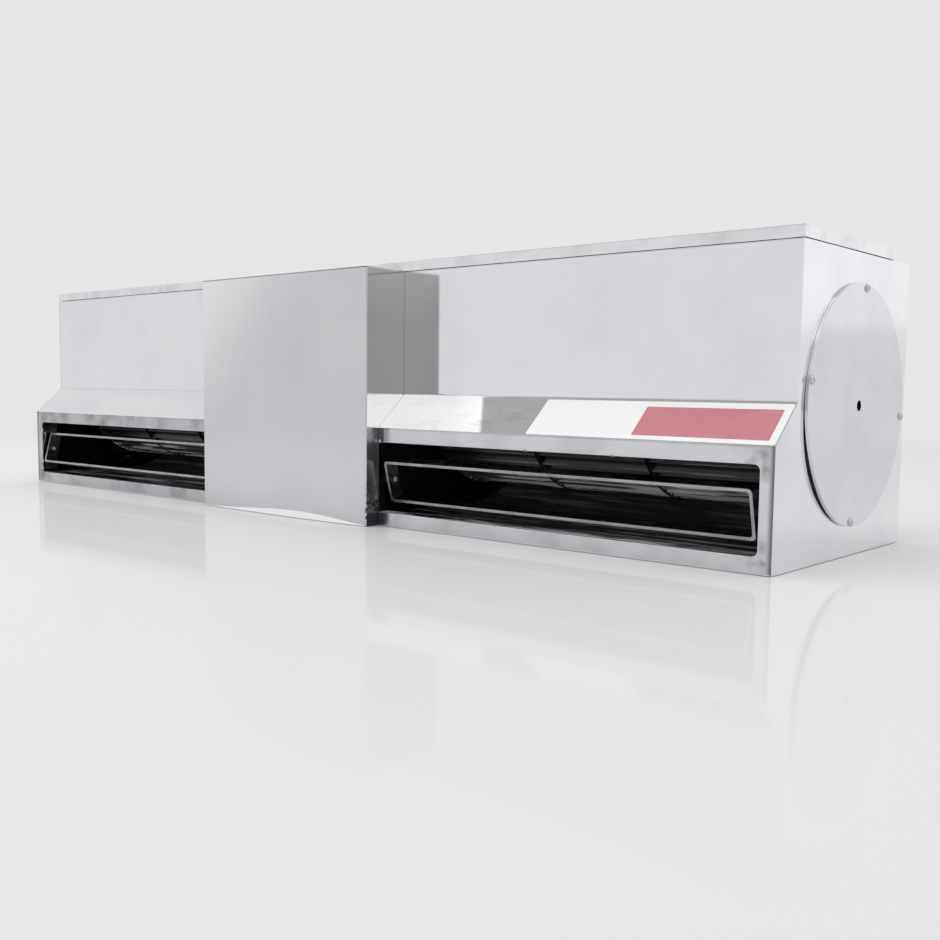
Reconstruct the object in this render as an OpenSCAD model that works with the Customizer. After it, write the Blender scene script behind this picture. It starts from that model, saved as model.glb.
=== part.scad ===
// Air curtain: a long sheet-steel casing with a motor bay in the middle and a fan section on each side.
// It stands on its wall face, so the discharge nozzles face -Y and the intake lid is on top.
// X runs along the length, +Y goes to the back and +Z up. The origin is the centre of the wall-mounting
// holes, on the wall face. All lengths are in millimetres.

/* [Casing] */
// Length over both end panels
body_l = 1220; // [1100:1:1400]
// Height of the casing, from the wall face to its top sheet
body_h = 278; // [272:1:310]
// Depth of the casing, from the upper front to the back
body_d = 247; // [244:1:280]
// Thickness of the folded sheet
sheet = 1.2; // [0.8:0.1:1.6]
// Width of a folded joining flange
flange_w = 14; // [10:1:16]
// Round-off at the corners that end pieces leave between flanges
flange_relief = 2; // [1:0.5:4]

/* [Nozzles] */
// How far the nozzle front stands ahead of the upper front
nozzle_reach = 40; // [36:1:50]
// Height of the nozzle front's upper edge
nozzle_top = 107; // [104:1:112]
// Height where the slope meets the upper front
slope_top = 143; // [138:1:150]
// Lower edge of the discharge opening
slot_bottom = 15; // [12:0.5:16]
// Upper edge of the discharge opening
slot_top = 91; // [86:0.5:94]
// Strip of frame between the opening and the end panel
slot_end_strip = 13.5; // [12:0.5:24]
// Radius of the opening's outer corners
slot_corner = 5; // [3:0.5:8]
// Depth of the throat flanges behind the opening
throat_depth = 24; // [22:1:30]

/* [Vanes] */
// Height of a vane frame
vane_h = 46; // [38:1:48]
// Depth of a vane frame
vane_depth = 18; // [14:1:20]
// Thickness of the vane sheet
vane_sheet = 1; // [0.8:0.1:1.4]
// Width of the lip folded along the front of a vane
vane_lip = 3; // [2:0.5:4]
// Corner radius of a vane frame
vane_corner = 4; // [3:0.5:6]
// Tilt of the right vane; the left one tilts as far the other way
vane_tilt = 14; // [-18:1:18]
// Distance from the nozzle front back to the vane pivots
pivot_set_back = 14; // [13:0.5:16]
// Distance of the vane pivots below the middle of the opening
pivot_drop = 2.4; // [0:0.2:3]
// Gap between a vane and the bulkhead beside the motor bay
vane_inner_gap = 8; // [6:0.1:14]
// Gap between a vane and the outer side of its opening
vane_outer_gap = 6; // [4:0.5:10]
// Shank diameter of a pivot screw
pivot_d = 5; // [4:0.5:6]
// Head diameter of a pivot screw
pivot_head_d = 9; // [8:0.5:11]

/* [Impellers] */
// Outer diameter of an impeller
impeller_d = 200; // [190:1:202]
// Number of blades round an impeller
blade_count = 48; // [36:1:54]
// Thickness of a blade
blade_t = 0.8; // [0.6:0.1:1.2]
// Radial depth of the blade ring
blade_depth = 15; // [12:0.5:18]
// Angle by which a blade's tip leads its root
blade_lean = 6; // [3:0.5:8]
// Number of rings along an impeller, its two ends included
ring_count = 4; // [3:1:5]
// Thickness of the ring plates that hold the blades
ring_w = 3; // [2:0.5:8]
// Gap between an impeller and the motor cover's side
impeller_inner_gap = 18; // [14:1:24]
// Gap between an impeller and the outer face of the end panel
impeller_outer_gap = 36; // [30:1:44]
// Thickness of the discs that close an impeller's ends
disc_t = 2.5; // [2:0.1:4]
// Radial gap between the impeller and the start of its scroll
scroll_start_gap = 6; // [4:0.5:8]
// Radial gap between the impeller and the cut-off's nose
cutoff_gap = 8; // [6:0.5:12]

/* [Motor cover] */
// Width of the motor cover
cover_w = 296; // [290:1:340]
// How far the motor cover stands ahead of the upper front
cover_reach = 58; // [54:1:72]
// Length of the tabs that reach behind the casing's front edges
cover_tab = 20; // [16:1:30]

/* [Lid] */
// Height of the intake lid
lid_h = 10.2; // [8:0.1:16]
// Shadow gap between the lid's rim and the casing
lid_gap = 1.3; // [1:0.1:3]
// Distance from the lid's back edge to the casing's back
lid_back_inset = 40; // [30:1:60]
// Length of one intake slot
slot_l = 36; // [24:1:38]
// Width of one intake slot
slot_w = 5; // [3:0.5:7]

/* [End covers] */
// Diameter of an end cover
end_cover_d = 224; // [220:1:228]
// Diameter of the access opening behind an end cover
access_d = 204; // [203:0.5:206]
// Thickness of an end cover
end_cover_t = 1.5; // [1:0.1:2.5]
// Thickness of the gasket that holds an end cover off its panel
gasket_t = 1.5; // [1:0.1:3]
// Radius on which the end cover screws sit
cover_screw_r = 107.5; // [106:0.5:108.5]
// Diameter of the hole in the middle of an end cover
centre_hole_d = 10; // [8:0.5:11]

/* [Motor] */
// Outer diameter of the motor housing, without its fins
motor_d = 136; // [120:1:144]
// Length of the motor housing
motor_l = 124; // [110:1:130]
// Height of the housing's cooling fins
fin_h = 6; // [4:0.5:8]
// Diameter of the motor shaft
shaft_d = 14; // [12:0.5:16]
// Diameter of the stub shafts at the outer ends
stub_d = 12; // [10:0.5:14]

/* [Wall mounting and cable] */
// Distance between the wall-mounting holes along the casing
mount_spacing_x = 960; // [800:1:1000]
// Distance between the wall-mounting holes across the casing
mount_spacing_y = 160; // [120:1:180]
// Diameter of the wall-mounting holes and of their nuts
mount_hole_d = 8.5; // [6.5:0.5:10.5]
// Bore of the cable gland
gland_bore_d = 10; // [8:0.5:11]

/* [Hidden] */
$fn = 64;

LEFT = -1;
RIGHT = 1;
// Overshoot of a cutting shape past the face that it opens
over = 1;

// Running clearance of a shaft, a bearing or a vane on its pin, on the radius
fit = 0.05;
// Axial play of a vane between its spacers
vane_play = 0.2;
// Clearance of a screw in its hole, on the radius
screw_clear = 0.3;
// Clearance of the shaft in an end shield, on the radius
shaft_clear = 1;
// Gap between the ends of two flanges that lie in one plane
flange_gap = 0.5;

// Casing planes
half_l = body_l / 2;
panel_x1 = half_l - sheet;
front_y = -body_d / 2;
back_y = body_d / 2;
inner_back_y = back_y - sheet;
nose_y = front_y - nozzle_reach;
cover_y = front_y - cover_reach;
axis_z = body_h / 2;
cover_half = cover_w / 2;
panel_x0 = cover_half + sheet;

// The slope runs down and forward from the upper front to the nozzle's upper edge
slope_dir = unit([front_y, slope_top], [nose_y, nozzle_top]);
tuck_z = nozzle_top - sheet / abs(slope_dir[0]);

// Discharge opening
slot_x1 = half_l - slot_end_strip;
slot_h = slot_top - slot_bottom;
pivot_y = nose_y + pivot_set_back;
pivot_z = slot_bottom + slot_h / 2 - pivot_drop;
pivot_r = pivot_d / 2;

// Vanes
vane_x0 = panel_x0 + vane_inner_gap;
vane_x1 = slot_x1 - vane_outer_gap;
spacer_wall = 2;

// Impellers
impeller_r = impeller_d / 2;
impeller_x0 = cover_half + impeller_inner_gap;
impeller_x1 = half_l - impeller_outer_gap;
ring_pitch = (impeller_x1 - impeller_x0 - ring_w) / (ring_count - 1);
blade_rim = 1.5;
blade_tip_r = impeller_r - blade_rim;
blade_root_r = blade_tip_r - blade_depth;
ring_inner_r = blade_root_r - blade_rim;
blade_steps = 4;
hub_r = 20;
hub_l = 22;

// Scroll: its radius grows from the start gap to the duct floor
scroll_start = 70;
scroll_end = -90;
scroll_step = 8;
floor_z = slot_bottom - sheet;
scroll_end_gap = axis_z - floor_z - impeller_r;
scroll_top_y = scroll_r(scroll_start) * cos(scroll_start);

// Cut-off nose: an arc round a centre beside the impeller
cutoff_angle = 197;
cutoff_nose_r = 5;
cutoff_nose_angles = [-70:20:30];
cutoff_seat_rise = 3;

// Intake openings in the top sheet
intake_end_rim = 26;
intake_front_rim = 40;
intake_x0 = panel_x0 + intake_end_rim;
intake_x1 = half_l - intake_end_rim;
intake_y0 = front_y + intake_front_rim;
intake_y1 = scroll_top_y;

// Intake lid
lid_z = body_h + lid_gap;
lid_top = lid_z + lid_h;
lid_front_inset = 1;
lid_y0 = front_y + lid_front_inset;
lid_y1 = back_y - lid_back_inset;
lid_screw_end_inset = 13;
lid_screw_front_inset = 23;
lid_screw_back_inset = 22;
lid_screw_x = [panel_x0 + lid_screw_end_inset, half_l - lid_screw_end_inset];
lid_screw_y = [lid_y0 + lid_screw_front_inset, lid_y1 - lid_screw_back_inset];
lid_screw_r = 2.5;
standoff_r = 6;
slot_end_land = 8;
slot_side_land = 6;
slot_pitch_x = slot_l + slot_end_land;
slot_pitch_y = slot_w + slot_side_land;

// Small screws: head radius and height
screw_head_r = 4;
screw_head_top_r = 2.8;
screw_head_h = 2.4;
screw_tail = 5;

// End covers and their bearings
end_cover_r = end_cover_d / 2;
access_r = access_d / 2;
cover_screw_angles = [86, 168, 265, 354];
cover_screw_hole_r = 2;
gasket_inset = 1.5;
end_cover_x = half_l + gasket_t;
cup_flange_r = 32;
cup_sheet = 1.5;
bearing_outer_r = 14;
rubber_outer_r = 18;
bearing_w = 10;
bearing_set_in = 12;
bearing_x = half_l - bearing_set_in;
stub_r = stub_d / 2;

// Motor
motor_r = motor_d / 2;
housing_wall = 3.5;
fin_count = 36;
fin_t = 1.8;
stator_l = 70;
stator_wall = 15.5;
air_gap = 0.4;
winding_l = 16;
winding_inset = 1.5;
shaft_r = shaft_d / 2;
shield_t = 4;
shield_x = motor_l / 2;
shield_boss_r = 25;
shield_boss_l = 24;
shield_boss_x = shield_x + shield_t + shield_boss_l;
motor_bearing_r = 17.5;
motor_bearing_w = 11;
shield_screw_count = 4;
shield_screw_r = 1.6;
rotor_ring_l = 7;
rotor_ring_step = 5;
rotor_ring_wall = 16;

// Cradle: a base with two uprights, each with a saddle for a rubber ring
rubber_ring_r = 33;
rubber_ring_w = 14;
rubber_ring_inset = 6;
rubber_ring_x = shield_x + shield_t + rubber_ring_inset;
cradle_t = 3;
cradle_half_l = 98;
cradle_half_w = 55;
upright_x = rubber_ring_x + rubber_ring_w / 2 - cradle_t / 2;
ledge_w = 12;
ledge_half_l = 47;
strap_t = 2;
strap_screw_inset = 6;
strap_screw_shift = 1;
strap_screw_x = upright_x + ledge_w / 2 + strap_screw_shift;
strap_screw_y = ledge_half_l - strap_screw_inset;
strap_screw_r = 2;
stud_inset = 9;
stud_x = cradle_half_l - stud_inset;
stud_y = cradle_half_w - stud_inset;
stud_r = 3;
stud_h = 14;
stud_nut_h = 5;
stud_nut_r = 5.77;

// Electrical pieces on the back sheet of the motor bay
capacitor_r = 18;
capacitor_l = 80;
capacitor_x = -110;
capacitor_strap_w = 16;
capacitor_strap_t = 1;
capacitor_lug_h = 14;
capacitor_top_gap = 4.8;
capacitor_top_z = body_h - sheet - flange_w - capacitor_top_gap;
capacitor_z = capacitor_top_z - capacitor_lug_h - capacitor_strap_t - capacitor_r;
capacitor_y = inner_back_y - capacitor_r;
terminal_x = 30;
terminal_ways = 5;
terminal_pitch = 12;
terminal_h = 24;
terminal_d = 16;
terminal_top_gap = 29.8;
terminal_z = body_h - sheet - flange_w - terminal_top_gap - terminal_h;
gland_x = 112;
gland_drop = 8;
gland_z = axis_z - gland_drop;
gland_thread_r = 8;
gland_hex_r = 12;
gland_hex_h = 5;
gland_dome_r = 10.5;
gland_dome_h = 8.4;
gland_cone_h = 5.6;
gland_cone_set_in = 3;
gland_lock_h = 4;
gland_tail = 6;
gland_inner_z = -sheet - gland_lock_h - gland_tail;

// Wall-mounting nuts
mount_nut_r = 7.5;
mount_nut_h = 6.5;

// ---- Geometry shared by the pieces ----

// Direction from p to q
function unit(p, q) = (q - p) / norm(q - p);

// Direction to the left of travel
function left_of(u) = [-u[1], u[0]];

// Corner i of a path, moved d to the left of travel and mitred
function shifted(path, i, d) =
    let (last = len(path) - 1,
         before = left_of(unit(path[max(i - 1, 0)], path[max(i, 1)])),
         after = left_of(unit(path[min(i, last - 1)], path[min(i + 1, last)])))
    path[i] + (before + after) * d / (1 + before * after);

// Radius of the scroll at an angle round the impeller
function scroll_r(angle) =
    let (part = (scroll_start - angle) / (scroll_start - scroll_end))
    impeller_r + scroll_start_gap + (scroll_end_gap - scroll_start_gap) * part;

// Point at a radius and an angle round the impeller's axis, in the Y-Z section
function round_axis(r, angle) = [r * cos(angle), axis_z + r * sin(angle)];

// Section of a sheet that lies to the left of a path
module bent_sheet(path, t) {
    inner = [for (i = [len(path) - 1:-1:0]) shifted(path, i, t)];
    polygon(concat(path, inner));
}

// Runs a Y-Z section along X
module along_x(x0, x1) {
    translate([x0, 0, 0]) rotate([90, 0, 90]) linear_extrude(x1 - x0) children();
}

// Runs an X-Z outline along Y
module along_y(y0, y1) {
    translate([0, y1, 0]) rotate([90, 0, 0]) linear_extrude(y1 - y0) children();
}

// Cylinder along X between two planes
module rod_x(r, x0, x1) {
    translate([x0, 0, 0]) rotate([0, 90, 0]) cylinder(h = x1 - x0, r = r);
}

// Ring along X between two planes
module ring_x(outer, inner, x0, x1) {
    difference() {
        rod_x(outer, x0, x1);
        rod_x(inner, x0 - over, x1 + over);
    }
}

// Builds a right-hand piece, or its mirror image on the left
module sided(side) {
    if (side == RIGHT) children();
    else mirror([1, 0, 0]) children();
}

// Moves a piece onto the impellers' and motor's axis
module on_axis() {
    translate([0, 0, axis_z]) children();
}

// Rectangle with round corners, without an offset
module round_rect(x0, z0, x1, z1, r) {
    translate([x0 + r, z0]) square([x1 - x0 - 2 * r, z1 - z0]);
    translate([x0, z0 + r]) square([x1 - x0, z1 - z0 - 2 * r]);
    for (x = [x0 + r, x1 - r], z = [z0 + r, z1 - r]) translate([x, z]) circle(r, $fn = 32);
}

// Pan-headed screw pointing down -Z, with its head's seat at the origin
module screw_down(shank_r, length) {
    translate([0, 0, -length]) cylinder(h = length, r = shank_r, $fn = 24);
    cylinder(h = screw_head_h, r1 = screw_head_r, r2 = screw_head_top_r, $fn = 24);
}

// ---- Casing ----

// Sheet that lies against the wall
module wall_sheet() {
    color("silver") difference() {
        translate([-panel_x1, nose_y, 0]) cube([2 * panel_x1, inner_back_y - nose_y, sheet]);
        mount_places() translate([0, 0, -over]) cylinder(h = sheet + 2 * over, d = mount_hole_d);
    }
}

module back_sheet() {
    color("silver") difference() {
        translate([-panel_x1, inner_back_y, 0]) cube([2 * panel_x1, sheet, body_h]);
        gland_place() translate([0, 0, -sheet - over])
            cylinder(h = sheet + 2 * over, r = gland_thread_r + screw_clear);
    }
}

// Top sheet with an intake opening over each fan section
module top_sheet() {
    color("silver") difference() {
        translate([-panel_x1, front_y, body_h - sheet])
            cube([2 * panel_x1, inner_back_y - front_y, sheet]);
        for (side = [LEFT, RIGHT]) sided(side) translate([intake_x0, intake_y0, body_h - sheet - over])
            cube([intake_x1 - intake_x0, intake_y1 - intake_y0, sheet + 2 * over]);
        lid_screw_places() translate([0, 0, -sheet - over])
            cylinder(h = sheet + 2 * over, r = lid_screw_r + fit, $fn = 24);
        cover_screw_places() translate([0, 0, -sheet - over])
            cylinder(h = sheet + 2 * over, r = lid_screw_r + fit, $fn = 24);
    }
}

// Angle strips that join the back sheet to the wall and top sheets, between the flanges of the
// bulkheads and the end panels
module joining_angles() {
    bay_x = cover_half - flange_gap;
    fan_x0 = panel_x0 + flange_w + flange_gap;
    fan_x1 = panel_x1 - flange_w - flange_gap;
    lower = [
        [inner_back_y - flange_w, sheet], [inner_back_y, sheet], [inner_back_y, sheet + flange_w]
    ];
    upper = [
        [inner_back_y, body_h - sheet - flange_w], [inner_back_y, body_h - sheet],
        [inner_back_y - flange_w, body_h - sheet]
    ];
    color("silver") for (path = [lower, upper]) {
        along_x(-bay_x, bay_x) bent_sheet(path, sheet);
        for (side = [LEFT, RIGHT]) sided(side) along_x(fan_x0, fan_x1) bent_sheet(path, sheet);
    }
}

// The four wall-mounting holes
module mount_places() {
    for (x = [-1, 1], y = [-1, 1])
        translate([x * mount_spacing_x / 2, y * mount_spacing_y / 2, 0]) children();
}

// Upper front and slope, with a flange under the top sheet
module front_panel(side) {
    path = [
        [front_y + flange_w, body_h - sheet], [front_y, body_h - sheet],
        [front_y, slope_top], [nose_y, nozzle_top]
    ];
    color("gainsboro") sided(side) along_x(panel_x0, panel_x1) bent_sheet(path, sheet);
}

// Outline of the discharge opening, grown on every side but the bulkhead's
module slot_outline(x0, grow) {
    r = slot_corner + grow;
    x1 = slot_x1 + grow;
    z0 = slot_bottom - grow;
    z1 = slot_top + grow;
    translate([x0, z0]) square([x1 - r - x0, z1 - z0]);
    translate([x0, z0 + r]) square([x1 - x0, z1 - z0 - 2 * r]);
    for (z = [z0 + r, z1 - r]) translate([x1 - r, z]) circle(r);
}

// Nozzle front with its opening, joining flanges and throat
module nozzle_frame(side) {
    path = [
        [nose_y, tuck_z] - slope_dir * flange_w, [nose_y, tuck_z],
        [nose_y, sheet], [nose_y + flange_w, sheet]
    ];
    color("silver") sided(side) difference() {
        union() {
            along_x(panel_x0, panel_x1) bent_sheet(path, sheet);
            along_y(nose_y, nose_y + throat_depth) slot_outline(panel_x0, sheet);
        }
        along_y(nose_y - over, nose_y + throat_depth + over) slot_outline(panel_x0 - over, 0);
        translate([0, pivot_y, pivot_z]) rod_x(pivot_r + fit, slot_x1 - over, slot_x1 + sheet + over);
    }
}

// Joining flange that lies inside the wall sheet and the back
module inner_flange(x0, x1) {
    path = [
        [nose_y + flange_w + flange_relief, sheet], [inner_back_y, sheet], [inner_back_y, body_h - sheet]
    ];
    along_x(x0, x1) bent_sheet(path, sheet);
}

// The end cover's four screws, on the panel's outer face
module end_screw_places() {
    for (a = cover_screw_angles)
        translate([0, cover_screw_r * cos(a), axis_z + cover_screw_r * sin(a)]) children();
}

module end_panel(side) {
    outline = [
        [front_y, body_h], [front_y, slope_top], [nose_y, nozzle_top],
        [nose_y, 0], [back_y, 0], [back_y, body_h]
    ];
    color("whitesmoke") sided(side) difference() {
        union() {
            along_x(panel_x1, half_l) polygon(outline);
            inner_flange(panel_x1 - flange_w, half_l);
        }
        on_axis() rod_x(access_r, panel_x1 - over, half_l + over, $fn = 96);
        end_screw_places() rod_x(cover_screw_hole_r + fit, panel_x1 - over, half_l + over, $fn = 24);
    }
}

module end_cover(side) {
    color("whitesmoke") sided(side) difference() {
        on_axis() rod_x(end_cover_r, end_cover_x, end_cover_x + end_cover_t, $fn = 128);
        on_axis() rod_x(centre_hole_d / 2, end_cover_x - over, end_cover_x + end_cover_t + over);
        end_screw_places()
            rod_x(cover_screw_hole_r + fit, end_cover_x - over, end_cover_x + end_cover_t + over, $fn = 24);
    }
}

module end_cover_gaskets() {
    color("dimgray") for (side = [LEFT, RIGHT]) sided(side) difference() {
        on_axis() ring_x(end_cover_r - gasket_inset, access_r, half_l, end_cover_x, $fn = 96);
        end_screw_places() rod_x(cover_screw_hole_r + fit, half_l - over, end_cover_x + over, $fn = 24);
    }
}

module end_cover_screws() {
    color("lightgray") for (side = [LEFT, RIGHT]) sided(side) end_screw_places()
        translate([end_cover_x + end_cover_t, 0, 0]) rotate([0, 90, 0])
            screw_down(cover_screw_hole_r, end_cover_t + gasket_t + sheet + screw_tail);
}

// Pressed cups on the inner faces of the end covers, which carry the outer bearings
module bearing_cups() {
    seat_x = end_cover_x - cup_sheet;
    color("silver") for (side = [LEFT, RIGHT]) sided(side) on_axis() {
        ring_x(cup_flange_r, rubber_outer_r, seat_x, end_cover_x);
        ring_x(rubber_outer_r + cup_sheet, rubber_outer_r, bearing_x, seat_x);
    }
}

module bearing_rubbers() {
    color("dimgray") for (side = [LEFT, RIGHT]) sided(side) on_axis()
        ring_x(rubber_outer_r - fit, bearing_outer_r, bearing_x, bearing_x + bearing_w);
}

module outer_bearings() {
    color("gray") for (side = [LEFT, RIGHT]) sided(side) on_axis()
        ring_x(bearing_outer_r - fit, stub_r + fit, bearing_x, bearing_x + bearing_w);
}

// Wall between the motor bay and a fan section
module bulkhead(side) {
    outline = [
        [nose_y, sheet], [inner_back_y, sheet], [inner_back_y, body_h - sheet],
        [front_y, body_h - sheet], [front_y, slope_top], [nose_y, nozzle_top]
    ];
    color("silver") sided(side) difference() {
        union() {
            along_x(cover_half, panel_x0) polygon(outline);
            inner_flange(cover_half, panel_x0 + flange_w);
        }
        on_axis() rod_x(hub_r, cover_half - over, panel_x0 + over);
        translate([0, pivot_y, pivot_z]) rod_x(pivot_r + fit, cover_half - over, panel_x0 + over);
    }
}

// ---- Air path ----

// Scroll wall: a flange under the top sheet, a spiral behind the impeller and the duct floor
module scroll(side) {
    spiral = [for (a = [scroll_start:-scroll_step:scroll_end]) round_axis(scroll_r(a), a)];
    path = concat(
        [[scroll_top_y + flange_w, body_h - sheet], [scroll_top_y, body_h - sheet]],
        spiral,
        [[nose_y + sheet, floor_z]]
    );
    color("lightgray") sided(side) along_x(panel_x0, panel_x1) bent_sheet(path, sheet);
}

// Cut-off: from the throat's upper flange round a nose beside the impeller to the upper front
module cutoff(side) {
    centre = round_axis(impeller_r + cutoff_gap + cutoff_nose_r, cutoff_angle);
    seat_y = front_y + 2 * sheet;
    seat_z = slope_top + cutoff_seat_rise;
    path = concat(
        [[nose_y + sheet, slot_top + sheet], [nose_y + throat_depth + flange_relief, slot_top + sheet]],
        [for (a = cutoff_nose_angles) centre + cutoff_nose_r * [cos(a), sin(a)]],
        [[seat_y, seat_z], [seat_y, seat_z + flange_w]]
    );
    color("lightgray") sided(side) along_x(panel_x0, panel_x1) bent_sheet(path, sheet);
}

// ---- Lid ----

// The lid's screws, on the casing's top
module lid_screw_places() {
    for (side = [LEFT, RIGHT], x = lid_screw_x, y = lid_screw_y)
        translate([side * x, y, body_h]) children();
}

// Intake slots over one fan section, each a square with two round ends
module intake_slots() {
    straight = slot_l - slot_w;
    columns = floor((intake_x1 - intake_x0) / slot_pitch_x);
    rows = floor((intake_y1 - intake_y0) / slot_pitch_y);
    x0 = (intake_x0 + intake_x1 - (columns - 1) * slot_pitch_x) / 2;
    y0 = (intake_y0 + intake_y1 - (rows - 1) * slot_pitch_y) / 2;
    for (i = [0:columns - 1], j = [0:rows - 1])
        translate([x0 + i * slot_pitch_x, y0 + j * slot_pitch_y]) {
            square([straight, slot_w], center = true);
            for (end = [-1, 1]) translate([end * straight / 2, 0]) circle(d = slot_w, $fn = 16);
        }
}

// Shallow tray with a slotted field over each intake opening
module intake_lid() {
    color("whitesmoke") {
        difference() {
            translate([-half_l, lid_y0, lid_z]) cube([body_l, lid_y1 - lid_y0, lid_h - sheet]);
            translate([sheet - half_l, lid_y0 + sheet, lid_z - over])
                cube([body_l - 2 * sheet, lid_y1 - lid_y0 - 2 * sheet, lid_h + over]);
        }
        translate([0, 0, lid_top - sheet]) linear_extrude(sheet) difference() {
            translate([-half_l, lid_y0]) square([body_l, lid_y1 - lid_y0]);
            intake_slots();
            mirror([1, 0]) intake_slots();
            for (side = [LEFT, RIGHT], x = lid_screw_x, y = lid_screw_y)
                translate([side * x, y]) circle(lid_screw_r + fit, $fn = 24);
        }
    }
}

module lid_standoffs() {
    color("dimgray") lid_screw_places() difference() {
        cylinder(h = lid_top - sheet - body_h, r = standoff_r, $fn = 32);
        translate([0, 0, -over])
            cylinder(h = lid_top - body_h + over, r = lid_screw_r + fit, $fn = 24);
    }
}

module lid_screws() {
    color("lightgray") lid_screw_places() translate([0, 0, lid_top - body_h])
        screw_down(lid_screw_r, lid_top - body_h + sheet + screw_tail);
}

// ---- Motor cover ----

// The screws that hold the cover's upper tab under the top sheet
module cover_screw_places() {
    for (i = [-1:1])
        translate([i * cover_w / 3, front_y + cover_tab / 2, body_h]) children();
}

module motor_cover() {
    inner_half = cover_half - sheet;
    color("whitesmoke") difference() {
        union() {
            // Front, sides, top and bottom of the box
            difference() {
                translate([-cover_half, cover_y, 0]) cube([cover_w, cover_reach, body_h]);
                translate([-inner_half, cover_y + sheet, sheet])
                    cube([2 * inner_half, cover_reach, body_h - 2 * sheet]);
                translate([-cover_half - over, nose_y, -over])
                    cube([cover_w + 2 * over, nozzle_reach + over, sheet + over]);
            }
            // Tabs behind the casing's edges
            for (side = [LEFT, RIGHT]) sided(side)
                translate([inner_half, front_y - over, sheet])
                    cube([sheet, cover_tab + over, body_h - 2 * sheet]);
            translate([-inner_half, cover_y + sheet, body_h - 2 * sheet])
                cube([2 * inner_half, cover_reach + cover_tab - sheet, sheet]);
            translate([-inner_half, cover_y + sheet, sheet])
                cube([2 * inner_half, cover_reach - nozzle_reach + cover_tab - sheet, sheet]);
        }
        cover_screw_places() translate([0, 0, -2 * sheet - over])
            cylinder(h = sheet + over + over, r = lid_screw_r + fit, $fn = 24);
    }
}

module motor_cover_screws() {
    color("lightgray") cover_screw_places() screw_down(lid_screw_r, 2 * sheet + screw_tail);
}

// ---- Wall mounting ----

module mount_nuts() {
    color("gray") mount_places() translate([0, 0, sheet]) difference() {
        cylinder(h = mount_nut_h, r = mount_nut_r, $fn = 6);
        translate([0, 0, -over]) cylinder(h = mount_nut_h + 2 * over, d = mount_hole_d);
    }
}

// ---- Vanes ----

// Folded sheet frame with a lip along its front, tilted about its pivots
module vane(side) {
    color("silver") sided(side) translate([0, pivot_y, pivot_z]) rotate([side * vane_tilt, 0, 0])
        difference() {
            along_y(-vane_depth / 2, vane_depth / 2)
                round_rect(vane_x0, -vane_h / 2, vane_x1, vane_h / 2, vane_corner);
            along_y(vane_sheet - vane_depth / 2, vane_depth / 2 + over) round_rect(
                vane_x0 + vane_sheet, vane_sheet - vane_h / 2,
                vane_x1 - vane_sheet, vane_h / 2 - vane_sheet, vane_corner - vane_sheet);
            along_y(-vane_depth / 2 - over, vane_depth / 2 + over) round_rect(
                vane_x0 + vane_lip, vane_lip - vane_h / 2,
                vane_x1 - vane_lip, vane_h / 2 - vane_lip, vane_corner - vane_sheet);
            rod_x(pivot_r + fit, vane_x0 - over, vane_x1 + over);
        }
}

// Two screws whose heads lie inside the vane; the outer one has a nut behind the throat
module vane_pivots(side) {
    head_h = 2.6;
    nut_h = 4;
    nut_r = 4.6;
    inner_seat = vane_x0 + vane_sheet + vane_play;
    outer_seat = vane_x1 - vane_sheet - vane_play;
    color("lightgray") sided(side) translate([0, pivot_y, pivot_z]) {
        rod_x(pivot_r, cover_half, inner_seat);
        rod_x(pivot_head_d / 2, inner_seat, inner_seat + head_h);
        rod_x(pivot_r, outer_seat, slot_x1 + sheet + nut_h);
        rod_x(pivot_head_d / 2, outer_seat - head_h, outer_seat);
        translate([slot_x1 + sheet, 0, 0]) rotate([0, 90, 0]) cylinder(h = nut_h, r = nut_r, $fn = 6);
    }
}

module vane_spacers() {
    color("white") for (side = [LEFT, RIGHT]) sided(side) translate([0, pivot_y, pivot_z]) {
        ring_x(pivot_r + spacer_wall, pivot_r + fit, panel_x0, vane_x0 - vane_play);
        ring_x(pivot_r + spacer_wall, pivot_r + fit, vane_x1 + vane_play, slot_x1);
    }
}

// ---- Rotor ----

module motor_shaft() {
    color("silver") on_axis() rod_x(shaft_r, -impeller_x0 - hub_l, impeller_x0 + hub_l);
}

module motor_rotor() {
    core_r = motor_r - housing_wall - stator_wall - air_gap;
    core_x = stator_l / 2;
    color("gray") on_axis() difference() {
        union() {
            rod_x(core_r, -core_x, core_x);
            for (side = [LEFT, RIGHT]) sided(side)
                rod_x(core_r - rotor_ring_step, core_x - over, core_x + rotor_ring_l);
        }
        rod_x(shaft_r + fit, -core_x - rotor_ring_l - over, core_x + rotor_ring_l + over);
        for (side = [LEFT, RIGHT]) sided(side)
            rod_x(core_r - rotor_ring_wall, core_x, core_x + rotor_ring_l + over);
    }
}

// Section of one curved blade, drawn outwards from its root
module blade_section() {
    points = [for (i = [0:blade_steps])
        let (part = i / blade_steps,
             r = blade_root_r + blade_depth * part,
             a = blade_lean * part * part)
        r * [cos(a), sin(a)]];
    bent_sheet(points, blade_t);
}

// Drum of blades fixed in rings at both ends and between
module impeller(side) {
    color("lightsteelblue") sided(side) on_axis() {
        along_x(impeller_x0 + over, impeller_x1 - over)
            for (k = [0:blade_count - 1]) rotate(k * 360 / blade_count) blade_section();
        for (i = [0:ring_count - 1]) {
            x0 = impeller_x0 + i * ring_pitch;
            ring_x(impeller_r, ring_inner_r, x0, x0 + ring_w, $fn = 96);
        }
    }
}

// Disc with a hub, riveted to the impeller's inner end and driven by the motor shaft
module drive_disc(side) {
    color("gray") sided(side) on_axis() difference() {
        union() {
            rod_x(blade_tip_r, impeller_x0 - disc_t, impeller_x0, $fn = 96);
            rod_x(hub_r, impeller_x0 - over, impeller_x0 + hub_l);
        }
        rod_x(shaft_r + fit, impeller_x0 - disc_t - over, impeller_x0 + hub_l + over);
    }
}

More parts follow.
